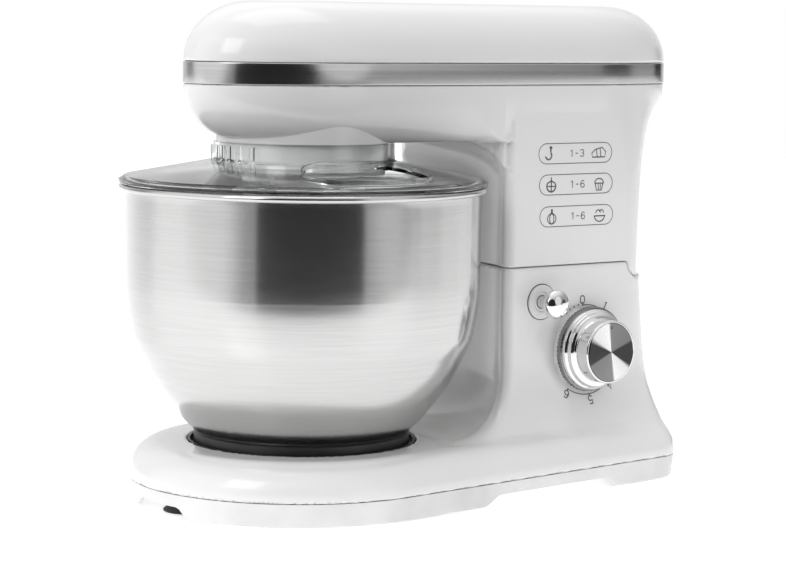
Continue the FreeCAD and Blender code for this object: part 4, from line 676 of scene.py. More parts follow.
SIDE_FLARE_MID = 0.039
SIDE_FLARE_EASE = 0.010
REAR_FLARE = ((0.015, 0.91), (0.030, 0.88), (0.038, 0.84), (0.048, 0.75), (0.060, 0.62),
              (0.075, 0.47), (0.095, 0.33), (0.120, 0.19), (0.144, 0.05))
HEAD_FLARE = ((0.144, 0.0), (0.183, 0.06), (0.210, 0.15), (0.230, 0.32), (0.243, 0.62),
              (0.251, 0.85), (0.2611, 1.0))
COLUMN_FRONT = 0.060
SIDE_FULLNESS = 3.2
HINGE_LOBE_R = 0.010
HINGE_CLEAR = 0.0006
EAR_Y = 0.026
EAR_SLOT_HALF = 0.0031
EAR_REACH = 0.0095
EAR_SLOT_Z = 0.124
LATCH_X = 0.1525
LATCH_HALF_LENGTH = 0.0105
LATCH_HALF_WIDTH = 0.010
LATCH_Z = 0.122
REAR_CUT_DROP = 0.0092
LOCK_BORE_R = 0.0056
KNOB_BORE_R = 0.0046
DIAL_BOSS_R = 0.026
DIAL_BOSS_Y = -0.0624
PIN_BORE_R = 0.0041
EDGE_ROUND = 0.0009


def base_half_width(x):
    s = sizes()
    reach = s.base_front_radius - (x - s.base_front_centre) * math.sin(s.base_taper)
    return reach / math.cos(s.base_taper)


def base_plan(x, y):
    """Distance to the base's outline: round front, closing sides, rounded rear corners."""
    s = sizes()
    nx, ny = math.sin(s.base_taper), math.cos(s.base_taper)
    side = nx * (x - s.base_front_centre) + ny * np.abs(y) - s.base_front_radius
    front = np.hypot(x - s.base_front_centre, y) - s.base_front_radius
    ahead = (x - s.base_front_centre) * ny - np.abs(y) * nx
    body = np.where(ahead < 0, front, side)
    return meet_round(body, x - s.base_rear, s.base_corner)


def column_recess(x, y, z):
    """Space round the bowl that the column leaves free, with its hollow foot."""
    s = sizes()
    return meet_round(np.hypot(x, y) - s.recess_radius, s.base_top - 0.0003 - z, s.recess_fillet)


def lower_column(x, y, z):
    s = sizes()
    side = 1.0 / (1.0 + np.exp((z - SIDE_FLARE_MID) / SIDE_FLARE_EASE))
    rear = eased(z, REAR_FLARE)
    half = s.column_half_width + side * (base_half_width(x) - s.column_half_width)
    rear_x = s.column_rear + rear * (s.base_rear - s.column_rear)
    corner = s.column_corner + rear * (s.base_corner - s.column_corner)
    plan = meet_round(np.abs(y) - half, x - rear_x, corner)
    return meet_round(np.maximum(plan, COLUMN_FRONT - x), -column_recess(x, y, z), s.front_corner)


def hinge_round(x, z):
    return np.hypot(x - HINGE_X, z - HINGE_Z)


def ear_slots(y):
    return np.abs(np.abs(y) - EAR_Y) - EAR_SLOT_HALF


def casing_lower(x, y, z):
    """Platform and column up to the seam, with the hinge trough and the holes in its wall."""
    s = sizes()
    slab = meet_round(base_plan(x, y), z - s.base_top, s.base_shoulder)
    body = join_round(slab, lower_column(x, y, z), 0.003)
    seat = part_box("bowl_seat")
    seat_r = (seat[1].x - seat[0].x) / 2 + 0.0004
    body = meet_round(body, -np.maximum(np.hypot(x, y) - seat_r, seat[0].z + 0.0001 - z), 0.0005)
    body = meet_round(body, z - SEAM_Z, EDGE_ROUND)
    trough = hinge_round(x, z) - HINGE_LOBE_R - HINGE_CLEAR
    behind = np.maximum(HINGE_X - x, HINGE_Z - REAR_CUT_DROP - z)
    body = meet_round(body, -np.minimum(trough, behind), 0.0006)
    ears = np.maximum(ear_slots(y), np.maximum(np.abs(x - HINGE_X) - EAR_REACH,
                                           EAR_SLOT_Z - z))
    latch = np.maximum(np.abs(x - LATCH_X) - LATCH_HALF_LENGTH, np.abs(y) - LATCH_HALF_WIDTH)
    latch = np.maximum(latch, LATCH_Z - z)
    body = np.maximum(body, -np.minimum(ears, latch))
    dial = np.hypot(x - KNOB_X, z - KNOB_Z)
    boss = np.maximum(dial - DIAL_BOSS_R, np.maximum(DIAL_BOSS_Y - y, y + 0.05))
    body = np.minimum(body, boss)
    bore = np.minimum(np.hypot(x - LOCK_X, z - LOCK_Z) - LOCK_BORE_R, dial - KNOB_BORE_R)
    body = np.maximum(body, -np.maximum(bore, y + 0.040))
    return meet_round(body, s.base_seam - z, 0.0006)


def head_plan(x, y, end_in, side_in):
    s = sizes()
    half = s.head_half_width - side_in
    ahead = np.maximum(s.head_front_centre - x, 0) / (s.head_front_reach - end_in)
    back = np.maximum(x - s.head_rear_centre, 0) / (s.head_rear_reach - end_in)
    return (np.hypot(ahead + back, y / half) - 1.0) * half


def head_pod(x, y, z):
    """Rounded underside of the head, from the trim band down."""
    s = sizes()
    drop = np.clip((BAND_Z0 - z) / (BAND_Z0 - s.head_bottom), 0, 1)
    share = 1.0 - np.sqrt(1.0 - drop ** 2)
    side_share = 1.0 - (1.0 - drop ** SIDE_FULLNESS) ** (1.0 / SIDE_FULLNESS)
    plan = head_plan(x, y, share * s.end_round, side_share * s.low_side_round)
    return np.maximum(plan, s.head_bottom - z)


def upper_column(x, y, z):
    """The column above the seam, which opens out into the head."""
    s = sizes()
    share = eased(z, HEAD_FLARE, 0.009)
    end_x = s.head_rear_centre + s.head_rear_reach - 0.0004
    half = s.column_half_width - 0.0004
    rear_x = s.column_rear + share * (end_x - s.column_rear)
    deep = s.column_corner + share * (s.head_rear_reach - s.column_corner)
    wide = s.column_corner + share * (s.head_half_width - 0.0015 - s.column_corner)
    past_x = np.maximum(x - (rear_x - deep), 0) / deep
    past_y = np.maximum(np.abs(y) - (half - wide), 0) / wide
    corner = (np.hypot(past_x, past_y) - 1.0) * wide
    plan = np.where((past_x > 0) & (past_y > 0), corner,
                    np.maximum(np.abs(y) - half, x - rear_x))
    plan = np.maximum(plan, COLUMN_FRONT - x)
    return meet_round(plan, s.recess_radius - np.hypot(x, y), s.front_corner)


def casing_head(x, y, z):
    """Head underside and upper column in one moulding, with the hinge lobe at its rear."""
    s = sizes()
    pod, column = head_pod(x, y, z), upper_column(x, y, z)
    a, b = slope(head_pod, x, y, z), slope(upper_column, x, y, z)
    alike = a[0] * b[0] + a[1] * b[1] + a[2] * b[2]
    ahead = np.clip((0.165 - x) / 0.03, 0.0, 1.0)
    fillet = s.neck_fillet * ahead * np.clip((0.75 - alike) / 0.6, 0.0, 1.0) ** 1.5 + 0.0004
    widen = 0.0004 * np.clip((s.head_bottom + 0.024 - z) / 0.02, 0.0, 1.0)
    body = np.maximum(join_round(pod, column, fillet), np.abs(y) - s.head_half_width + widen)
    body = meet_round(body, z - BAND_Z0, 0.0006)
    body = meet_round(body, SEAM_Z + 0.0004 - z, EDGE_ROUND)
    end = meet_round(np.abs(y) - s.column_half_width + 0.0005, x - s.column_rear,
                     s.column_corner)
    lobe = np.maximum(hinge_round(x, z) - HINGE_LOBE_R, end)
    body = np.minimum(body, lobe)
    ears = np.maximum(ear_slots(y), hinge_round(x, z) - 0.011)
    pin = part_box("hinge_pin")
    bore = np.maximum(hinge_round(x, z) - PIN_BORE_R, np.abs(y) - pin[1].y - 0.0005)
    return np.maximum(body, -np.minimum(ears, bore))


# ======================= operators: pieces =======================

class MIXER_OT_lower_casing(bpy.types.Operator):
    """Build the platform and lower column"""
    bl_idname = "mixer.lower_casing"
    bl_label = "Lower casing"

    def execute(self, context):
        s = sizes()
        reach = s.base_front_radius
        piece = shell("lower_casing", casing_lower,
                      (s.base_front_centre - reach, -reach - 0.002, s.base_seam),
                      (s.base_rear, reach + 0.002, SEAM_Z), "base", "white_gloss")
        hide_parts("base_housing")
        return {"FINISHED"}


class MIXER_OT_upper_casing(bpy.types.Operator):
    """Build the head's underside with the upper column"""
    bl_idname = "mixer.upper_casing"
    bl_label = "Upper casing"

    def execute(self, context):
        s = sizes()
        front = s.head_front_centre - s.head_front_reach
        rear = s.head_rear_centre + s.head_rear_reach
        piece = shell("upper_casing", casing_head, (front, -s.head_half_width, HINGE_Z - 0.010),
                      (rear, s.head_half_width, BAND_Z0), "head", "white_gloss")
        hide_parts("head_lower_housing")
        return {"FINISHED"}


def head_ring(z, end_in, side_in, count=256):
    """Points of the head's outline at one height, drawn in at its ends and sides."""
    s = sizes()
    half = s.head_half_width - side_in
    straight = s.head_rear_centre - s.head_front_centre
    front, rear = s.head_front_reach - end_in, s.head_rear_reach - end_in
    bend = count * 3 // 8
    run = (count - 2 * bend) // 2
    points = []
    for i in range(bend):
        a = math.pi / 2 + math.pi * i / bend
        points.append((s.head_front_centre + front * math.cos(a), half * math.sin(a), z))
    for i in range(run):
        points.append((s.head_front_centre + straight * i / run, -half, z))
    for i in range(bend):
        a = -math.pi / 2 + math.pi * i / bend
        points.append((s.head_rear_centre + rear * math.cos(a), half * math.sin(a), z))
    for i in range(run):
        points.append((s.head_rear_centre - straight * i / run, half, z))
    return [(x + AXIS_X, y, height) for x, y, height in points]


class MIXER_OT_top_cover(bpy.types.Operator):
    """Build the head's crowned top cover"""
    bl_idname = "mixer.top_cover"
    bl_label = "Top cover"

    def execute(self, context):
        s = sizes()
        wall = 0.0025
        rows = 28

        def skin(inset, step, z0):
            angle = math.pi / 2 * step / rows
            share = 1 - math.cos(angle)
            z = z0 + (HEAD_TOP - inset - z0) * math.sin(angle)
            return head_ring(z, inset + share * (s.end_round - inset),
                             inset + share * (s.top_side_round - inset))

        rings = [head_ring(BAND_Z1 + 0.0002, wall, wall),
                 head_ring(BAND_Z1 + 0.0002, 0.0009, 0.0009),
                 head_ring(BAND_Z1 + 0.0005, 0.0002, 0.0002)]
        rings.extend(skin(0.0, step, BAND_Z1 + 0.0011) for step in range(rows + 1))
        front = (s.head_front_reach - s.end_round)
        for share in (0.75, 0.5, 0.25, 0.04):
            side = s.head_half_width - (s.head_half_width - s.top_side_round) * share
            rings.append(head_ring(HEAD_TOP, s.head_front_reach - front * share, side))
        last = len(rings) - 1
        inner = [skin(wall, step, BAND_Z1 + 0.0011) for step in range(rows, -1, -1)]
        rings.append(head_ring(HEAD_TOP - wall, s.head_front_reach - front * 0.04,
                               s.head_half_width - (s.head_half_width - s.top_side_round) * 0.04))
        rings.extend(inner)
        count = len(rings[0])
        points = [p for ring in rings for p in ring]
        faces = [f for f in ring_faces(len(rings), count)
                 if not last * count <= f[0] < (last + 1) * count]
        top = [last * count + i for i in range(count)]
        under = [(last + 1) * count + i for i in range(count)]
        faces.append(tuple(top))
        faces.append(tuple(reversed(under)))
        piece = add_mesh("top_cover", points, faces, "white_gloss", "head")
        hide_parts("head_top_cover")
        return {"FINISHED"}


class MIXER_OT_trim_band(bpy.types.Operator):
    """Build the brushed trim band with its rolled edges"""
    bl_idname = "mixer.trim_band"
    bl_label = "Trim band"

    def execute(self, context):
        profile = rounded([(-0.0003, BAND_Z0 + 0.0001), (-0.0003, BAND_Z1 - 0.0001),
                           (0.0024, BAND_Z1 - 0.0001), (0.0024, BAND_Z0 + 0.0001)],
                          [0.0006, 0.0006, 0.0, 0.0])
        rings = [head_ring(z, inset, inset) for inset, z in profile]
        points = [p for ring in rings for p in ring]
        piece = add_mesh("trim_band_skin", points, ring_faces(len(rings), len(rings[0])),
                         "brushed_band", "head")
        sharpen(piece, 50.0)
        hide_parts("trim_band")
        return {"FINISHED"}


class MIXER_OT_bottom_tray(bpy.types.Operator):
    """Build the bottom tray with its arched rim"""
    bl_idname = "mixer.bottom_tray"
    bl_label = "Bottom tray"

    def outline(self, inset, z, count=360):
        """Base outline by angle, found along rays from the base's middle."""
        s = sizes()
        middle = (s.base_rear + s.base_front_centre) / 2 * 0.6
        angles = 2 * np.pi * np.arange(count) / count
        low, high = np.zeros(count), np.full(count, 0.4)
        for _ in range(40):
            mid = (low + high) / 2
            gap = base_plan(middle + mid * np.cos(angles), mid * np.sin(angles)) + inset
            low, high = np.where(gap < 0, mid, low), np.where(gap < 0, high, mid)
        height = z(angles) if callable(z) else np.full(count, z)
        x, y = middle + low * np.cos(angles), low * np.sin(angles)
        return [(a + AXIS_X, b, c) for a, b, c in zip(x, y, height)]

    def execute(self, context):
        s = sizes()
        rim, arch = 0.0008, 0.0062
        middle = (s.base_rear + s.base_front_centre) / 2 * 0.6

        def ease(t):
            t = np.clip(t, 0, 1)
            return t * t * (3 - 2 * t)

        def rim_z(extra):
            def at(angles):
                side = self.outline(0.0, 0.0, len(angles))
                x = np.array([p[0] - AXIS_X for p in side])
                y = np.array([p[1] for p in side])
                long = ease((x - 0.072) / 0.016) * ease((0.200 - x) / 0.016)
                long = long * (np.abs(y) > 0.05)
                front = ease((0.030 - np.abs(y)) / 0.010) * (x < middle)
                return rim + extra + arch * np.maximum(long, front)
            return at

        seam = s.base_seam - 0.0004
        rings = [self.outline(0.0006, seam), self.outline(0.0012, seam - 0.004),
                 self.outline(0.0021, rim_z(0.0022)), self.outline(0.0025, rim_z(0.0006)),
                 self.outline(0.0031, rim_z(0.0)), self.outline(0.0048, rim_z(0.0)),
                 self.outline(0.0054, rim_z(0.0006)), self.outline(0.0056, 0.0072)]
        count = len(rings[0])
        points = [p for ring in rings for p in ring]
        faces = ring_faces(len(rings), count, closed=False)
        faces.append(tuple(range(count - 1, -1, -1)))
        faces.append(tuple((len(rings) - 1) * count + i for i in range(count)))
        piece = add_mesh("bottom_tray", points, faces, "white_satin", "base")
        piece.data.flip_normals()
        sharpen(piece, 30.0)
        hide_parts("base_tray")
        return {"FINISHED"}


BOWL_CURVE = ((111.4, 135.0), (110.7, 126.0), (109.2, 115.0), (106.7, 102.5), (102.0, 91.9),
              (96.7, 81.2), (89.3, 69.0), (81.7, 59.3), (75.0, 51.0), (67.0, 43.2))


def through(points, per_span=6):
    """Smooth curve through a few (r, z) points."""
    whole = [points[0]] + list(points) + [points[-1]]
    made = []
    for i in range(1, len(whole) - 2):
        p = [np.array(whole[i + k], float) for k in (-1, 0, 1, 2)]
        for step in range(per_span):
            t = step / per_span
            made.append(tuple(0.5 * (2 * p[1] + (p[2] - p[0]) * t
                                     + (2 * p[0] - 5 * p[1] + 4 * p[2] - p[3]) * t ** 2
                                     + (3 * p[1] - p[0] - 3 * p[2] + p[3]) * t ** 3)))
    made.append(tuple(map(float, points[-1])))
    return made


class MIXER_OT_bowl(bpy.types.Operator):
    """Build the spun bowl with its rolled bead"""
    bl_idname = "mixer.bowl"
    bl_label = "Mixing bowl"

    def execute(self, context):
        wall, bead = 0.0010, 0.0022
        bead_z = BOWL_BOX[1].z - bead
        curve = [(r * MM, z * MM) for r, z in through(BOWL_CURVE)]
        radius = curve[0][0]
        outside = [(radius, bead_z - 0.0030 - 0.004 * i) for i in range(13)] + curve[:-1]
        outside += rounded([curve[-2], curve[-1], (0.050, curve[-1][1])], [0, 0.003, 0], 4)[1:-1]
        inside = [(r - wall, z + (wall if r < 0.070 else 0.0006)) for r, z in reversed(outside)]
        centre = radius + bead - wall / 2
        roll = [(centre + bead * math.cos(a), bead_z + bead * math.sin(a))
                for a in np.linspace(math.radians(195), math.radians(-135), 22)]
        floor = curve[-1][1]
        outline = roll + outside + [(0.050, floor), (0.0005, floor)]
        outline += [(0.0005, floor + wall), (0.050, floor + wall)] + inside
        piece = turned("bowl_skin", outline, "bowl_steel", "bowl")
        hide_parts("mixing_bowl")
        return {"FINISHED"}


class MIXER_OT_knob(bpy.types.Operator):
    """Build the speed knob: knurled ring and stepped skirt round the frame's spun face"""
    bl_idname = "mixer.knob"
    bl_label = "Speed knob"

    def execute(self, context):
        back = KNOB_BOX[1].y
        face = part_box("knob_face")[0].y
        grip = (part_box("knob_face")[1].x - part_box("knob_face")[0].x) / 2 + 0.0015
        skirt = (KNOB_BOX[1].x - KNOB_BOX[0].x) / 2
        centre = (KNOB_X, KNOB_Z)
        ridges = 64

        def knurl(r, h, a):
            rim = r > skirt - 0.0012 and h > back - 0.0036
            return -0.0006 * (0.5 - 0.5 * math.cos(ridges * a)) ** 0.7 if rim else 0.0

        ring = rounded([(0.0242, back), (skirt, back), (skirt, back - 0.0034),
                        (skirt - 0.0012, back - 0.0042), (0.0242, back - 0.0042)], 0.0004)
        made = turned("knob_knurled_ring", ring, "knob_grey", "speed_knob", centre,
                      "Y", knurl)
        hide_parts("knob_ring")
        body = rounded([(0.0030, back - 0.001), (0.0239, back - 0.001), (0.0239, back - 0.0040),
                        (0.0266, back - 0.0040), (0.0262, back - 0.0062), (0.0245, back - 0.0072),
                        (0.0240, back - 0.0098), (0.0222, back - 0.0108), (grip, back - 0.0112),
                        (grip, face + 0.0010), (grip - 0.0007, face + 0.0004),
                        (grip - 0.0014, face + 0.0005), (grip - 0.0015, face + 0.0016),
                        (0.0030, face + 0.0016)], 0.0005)
        made = turned("knob_stepped_body", body, "knob_chrome", "speed_knob",
                      centre, "Y")
        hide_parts("knob_body")
        return {"FINISHED"}


class MIXER_OT_lock(bpy.types.Operator):
    """Build the head lock's plated knob and its collar"""
    bl_idname = "mixer.lock"
    bl_label = "Lock knob"

    def execute(self, context):
        wall = -sizes().column_half_width
        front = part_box("lock_knob")[0].y
        centre = (LOCK_X, LOCK_Z)
        cap_r = 0.0095
        deep = 0.0126
        crown = [(cap_r * math.sin(a), front + deep * 0.42 * (1 - math.cos(a)))
                 for a in np.linspace(0.03, math.pi / 2, 14)]
        under = [(cap_r - 0.0003, front + deep * 0.62), (cap_r - 0.0022, front + deep * 0.86),
                 (0.0052, front + deep), (0.0040, front + deep + 0.001), (0.0040, wall + 0.003),
                 (0.0004, wall + 0.003)]
        made = turned("lock_knob_cap", crown + under, "knob_chrome", "lock_button",
                      centre, "Y")
        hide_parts("lock_knob")
        collar = rounded([(0.0044, wall + 0.006), (0.0055, wall + 0.006), (0.0055, wall - 0.0001),
                          (0.0112, wall - 0.0001), (0.0112, wall - 0.0009),
                          (0.0100, wall - 0.0016), (0.0068, wall - 0.0016),
                          (0.0060, wall - 0.0007), (0.0044, wall - 0.0007)], 0.0003)
        made = turned("lock_collar", collar, "white_gloss", "base", centre, "Y")
        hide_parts("lock_escutcheon")
        # Painted shadow: this thin black ring is not a part of the lock; it stands for the shadow
        # in the gap round the collar.
        gap = rounded([(0.0113, wall + 0.001), (0.0118, wall + 0.001), (0.0118, wall - 0.0002),
                       (0.0113, wall - 0.0002)], 0.0001)
        turned("lock_collar_painted_shadow_ring", gap, "black_plastic", "base", centre, "Y")
        return {"FINISHED"}


# ======================= printed marks =======================

INK_RAISE = 0.00008
DIAL_R = 0.0293
DIGIT_R = 0.0330
DIAL_DROP = 0.0010
DIAL_START = math.radians(94.0)
DIAL_STEP = math.radians(36.0)
DIGIT_H = 0.0050


def wall_y(x, z, field, start=-0.075, end=-0.03):
    """Where the control-side wall lies at each (x, z)."""
    low, high = np.full(x.shape, start), np.full(x.shape, end)
    for _ in range(30):
        mid = (low + high) / 2
        outside = field(x, mid, z) > 0
        low, high = np.where(outside, mid, low), np.where(outside, high, mid)
    return high


def print_on_wall(name, strips, field, body):
    """Ink from flat strips of (x, z) points: each strip is a pair of equal-length lines."""
    points, faces = [], []
    for left, right in strips:
        base = len(points)
        for a, b in zip(left, right):
            points.extend([a, b])
        for i in range(len(left) - 1):
            k = base + 2 * i
            faces.append((k, k + 1, k + 3, k + 2))
    xz = np.array(points, float)
    y = wall_y(xz[:, 0], xz[:, 1], field)
    count = len(points)
    outer = [(x + AXIS_X, d - INK_RAISE, z) for (x, z), d in zip(points, y)]
    inner = [(x + AXIS_X, d + INK_RAISE, z) for (x, z), d in zip(points, y)]
    back = [tuple(count + i for i in reversed(f)) for f in faces]
    add_mesh(name, outer + inner, faces + back, "ink", body, smooth=False)


def stroke(path, width):
    """A line of even width along a path of (x, z) points."""
    pts = [np.array(p, float) for p in path]
    left, right = [], []
    for i, p in enumerate(pts):
        ahead = pts[min(i + 1, len(pts) - 1)] - pts[max(i - 1, 0)]
        if np.allclose(pts[0], pts[-1]) and i in (0, len(pts) - 1):
            ahead = pts[1] - pts[-2]
        side = np.array([-ahead[1], ahead[0]]) / (np.linalg.norm(ahead) + 1e-12)
        left.append(tuple(p + side * width / 2))
        right.append(tuple(p - side * width / 2))
    return left, right


def arc(cx, cz, radius, start, end, steps=24, squash=1.0):
    return [(cx + radius * math.cos(a), cz + radius * squash * math.sin(a))
            for a in np.linspace(start, end, steps)]


def dot(cx, cz, radius):
    ring = arc(cx, cz, radius, math.pi / 2, math.pi * 1.5, 9)
    return ring, [(2 * cx - x, z) for x, z in ring]


SEGMENTS = {
    "0": [[(0, .25), (.12, .06), (.35, 0), (.58, .06), (.7, .25), (.7, .75), (.58, .94), (.35, 1),
           (.12, .94), (0, .75), (0, .25)]],
    "1": [[(.12, .78), (.4, 1), (.4, 0)]],
    "2": [[(.02, .75), (.12, .94), (.36, 1), (.6, .94), (.7, .75), (.62, .5), (0, 0), (.72, 0)]],
    "3": [[(.03, .84), (.32, 1), (.6, .92), (.66, .74), (.56, .58), (.3, .53), (.6, .46),
           (.7, .27), (.58, .07), (.3, 0), (.03, .14)]],
    "4": [[(.72, .28), (0, .28), (.52, 1), (.52, 0)]],
    "5": [[(.66, 1), (.12, 1), (.06, .54), (.34, .62), (.6, .54), (.7, .32), (.58, .07), (.3, 0),
           (.02, .12)]],
    "6": [[(.64, .86), (.42, 1), (.18, .92), (.04, .66), (0, .32), (.12, .07), (.36, 0),
           (.6, .08), (.7, .3), (.6, .52), (.36, .6), (.12, .5), (.01, .3)]],
    "-": [[(.08, .48), (.55, .48)]],
}


def figures(text, x, z, height, turn=0.0, weight=0.13):
    """Stroked figures centred on a point, turned about it."""
    strips = []
    advance = 0.95
    total = advance * len(text) - 0.25
    cos_t, sin_t = math.cos(turn), math.sin(turn)
    for i, mark in enumerate(text):
        for path in SEGMENTS[mark]:
            placed = []
            for u, v in path:
                a = (u + i * advance - total / 2) * height
                b = (v - 0.5) * height
                placed.append((x + a * cos_t - b * sin_t, z + a * sin_t + b * cos_t))
            strips.append(stroke(placed, weight * height))
    return strips


class MIXER_OT_dial_print(bpy.types.Operator):
    """Print the speed scale round the knob"""
    bl_idname = "mixer.dial_print"
    bl_label = "Dial print"

    def execute(self, context):
        strips = []

        def at(radius, angle):
            return (KNOB_X + radius * math.cos(angle),
                    KNOB_Z - DIAL_DROP + radius * math.sin(angle))

        for n in range(7):
            angle = DIAL_START - n * DIAL_STEP
            x, z = at(DIGIT_R, angle)
            strips += figures(str(n), x, z, DIGIT_H, angle - math.pi / 2, 0.17)
            strips.append(stroke([at(DIAL_R - 0.0006, angle), at(DIAL_R + 0.0010, angle)], 0.0009))
        steps = [DIAL_START - DIAL_STEP * k / 24 for k in range(24 * 6 + 1)]
        strips.append(stroke([at(DIAL_R, a) for a in steps], 0.0006))
        for n in range(1, 5):
            x, z = at(DIAL_R + 0.0008, DIAL_START + math.radians(7.2) * n)
            strips.append(dot(x, z, 0.0011 if n == 4 else 0.0006))
        print_on_wall("dial_scale_print", strips, casing_lower, "base")
        return {"FINISHED"}


def pill_path(x0, x1, z0, z1):
    r = (z1 - z0) / 2
    path = arc(x1 - r, (z0 + z1) / 2, r, -math.pi / 2, math.pi / 2, 14)
    path += arc(x0 + r, (z0 + z1) / 2, r, math.pi / 2, math.pi * 1.5, 14)
    return path + [path[0]]


def hook_mark(x, z, h):
    """Dough hook."""
    return [stroke([(x, z + h / 2), (x, z + h * 0.12)], h * 0.12),
            stroke(arc(x - h * 0.18, z - h * 0.12, h * 0.26, 0.9, -math.pi * 0.95, 18), h * 0.11),
            stroke([(x - h * 0.12, z + h * 0.40), (x + h * 0.12, z + h * 0.40)], h * 0.10)]


def beater_mark(x, z, h):
    """Flat beater."""
    return [stroke([(x, z + h / 2), (x, z - h * 0.42)], h * 0.09),
            stroke(arc(x, z - h * 0.08, h * 0.38, math.pi * 0.86, math.pi * 2.14, 22, 1.0),
                   h * 0.10),
            stroke([(x - h * 0.35, z + h * 0.10), (x, z + h * 0.26), (x + h * 0.35, z + h * 0.10)],
                   h * 0.09),
            stroke([(x - h * 0.34, z - h * 0.1), (x + h * 0.34, z - h * 0.1)], h * 0.07)]


def whisk_mark(x, z, h):
    """Balloon whisk."""
    made = [stroke([(x, z + h / 2), (x, z + h * 0.2)], h * 0.16)]
    for wide in (0.36, 0.18):
        loop = [(x + wide * h * math.sin(a), z + h * 0.2 - h * 0.34 * (1 - math.cos(a)))
                for a in np.linspace(0, 2 * math.pi, 26)]
        made.append(stroke(loop, h * 0.07))
    return made


def loaf_mark(x, z, h):
    """Sliced loaf."""
    rim = ((-.55, -.3), (.55, -.3), (.62, .05), (.3, .34), (-.3, .2), (-.6, -.02), (-.55, -.3))
    return [stroke([(x + h * u, z + h * v) for u, v in rim], h * 0.08),
            stroke([(x - h * .2, z + h * .18), (x - h * .12, z - h * .28)], h * 0.07),
            stroke([(x + h * .12, z + h * .26), (x + h * .2, z - h * .28)], h * 0.07)]


def cake_mark(x, z, h):
    """Small cake in a paper case."""
    return [stroke([(x - h * .34, z), (x - h * .22, z - h * .46), (x + h * .22, z - h * .46),
                    (x + h * .34, z)], h * 0.08),
            stroke(arc(x, z + h * .02, h * .38, -0.1, math.pi + 0.1, 18, 0.8), h * 0.08),
            stroke([(x - h * .36, z), (x + h * .36, z)], h * 0.08),
            stroke([(x - h * .08, z - h * .06), (x - h * .06, z - h * .42)], h * 0.06),
            stroke([(x + h * .12, z - h * .06), (x + h * .1, z - h * .42)], h * 0.06)]


def cream_mark(x, z, h):
    """Bowl of whipped cream."""
    return [stroke(arc(x, z - h * .08, h * .44, math.pi, 2 * math.pi, 18, 0.85), h * 0.08),
            stroke([(x - h * .5, z - h * .08), (x + h * .5, z - h * .08)], h * 0.08),
            stroke(arc(x - h * .12, z + h * .1, h * .22, 0.2, math.pi, 14), h * 0.07),
            stroke(arc(x + h * .16, z + h * .12, h * .2, 0.0, math.pi * 0.9, 14), h * 0.07)]


class MIXER_OT_guide_print(bpy.types.Operator):
    """Print the three speed guides on the column"""
    bl_idname = "mixer.guide_print"
    bl_label = "Speed guide print"

    def execute(self, context):
        left, length, tall = 0.1429, 0.0624, 0.0130
        rows = ((0.2168, "1-3", hook_mark, loaf_mark), (0.1967, "1-6", beater_mark, cake_mark),
                (0.1761, "1-6", whisk_mark, cream_mark))
        for number, (z, text, tool, food) in enumerate(rows):
            x0 = left + 0.00095 * number
            x1 = x0 + length
            strips = [stroke(pill_path(x0, x1, z - tall / 2, z + tall / 2), 0.0005)]
            strips += tool(x0 + 0.0100, z, 0.0098)
            strips += figures(text, (x0 + x1) / 2 + 0.001, z, 0.0046)
            strips += food(x1 - 0.0115, z, 0.0098)
            print_on_wall("speed_guide_%d" % (number + 1), strips, casing_head, "head")
        return {"FINISHED"}


# ======================= carried-over parts and studio =======================

class MIXER_OT_finishes(bpy.types.Operator):
    """Give every part that is kept from the frame its finish"""
    bl_idname = "mixer.finishes"
    bl_label = "Part finishes"

    def execute(self, context):
        for row in frame["record"]["subparts"]:
            node = frame["nodes"][row["node"]]
            node.data.materials.clear()
            node.data.materials.append(MATERIALS[row["material_slot"]])
        return {"FINISHED"}


class MIXER_OT_materials(bpy.types.Operator):
    """Make the finishes"""
    bl_idname = "mixer.materials"
    bl_label = "Materials"

    def execute(self, context):
        build_materials()
        return {"FINISHED"}


SHEET_NEAR = 0.58
SHEET_FAR = 4.0
ROOM_LEVEL = 0.38
# heading, height, full inside, gone outside (degrees), brightness added
PANELS = (
    (0.0, 90.0, 25.0, 75.0, 0.62),
    (-110.0, 12.0, 26.0, 44.0, 0.62),
    (-30.0, -4.0, 31.0, 36.0, -0.70),
    (20.0, 12.0, 16.0, 20.0, 0.45),
    (53.0, 0.0, 10.0, 13.0, -0.30),
    (103.0, 0.0, 7.0, 11.0, -0.45),
    (150.0, 15.0, 25.0, 50.0, 0.40),
)
CAMERA_PLACE = (-0.9772, -1.2853, 0.3003)
CAMERA_TURN = math.radians(36.8)
CAMERA_DIP = math.radians(6.22)
CAMERA_ROLL = math.radians(0.78)
CAMERA_LENS = 114.5


def area_light(name, place, target, size, power, size_y=None, colour=(1, 1, 1)):
    lamp = bpy.data.lights.new(name, "AREA")
    lamp.shape = "RECTANGLE"
    lamp.size = size
    lamp.size_y = size_y or size
    lamp.energy = power
    lamp.color = colour
    made = bpy.data.objects.new(name, lamp)
    made.location = place
    direction = Vector(target) - Vector(place)
    made.rotation_euler = direction.to_track_quat("-Z", "Y").to_euler()
    bpy.context.scene.collection.objects.link(made)
    return made


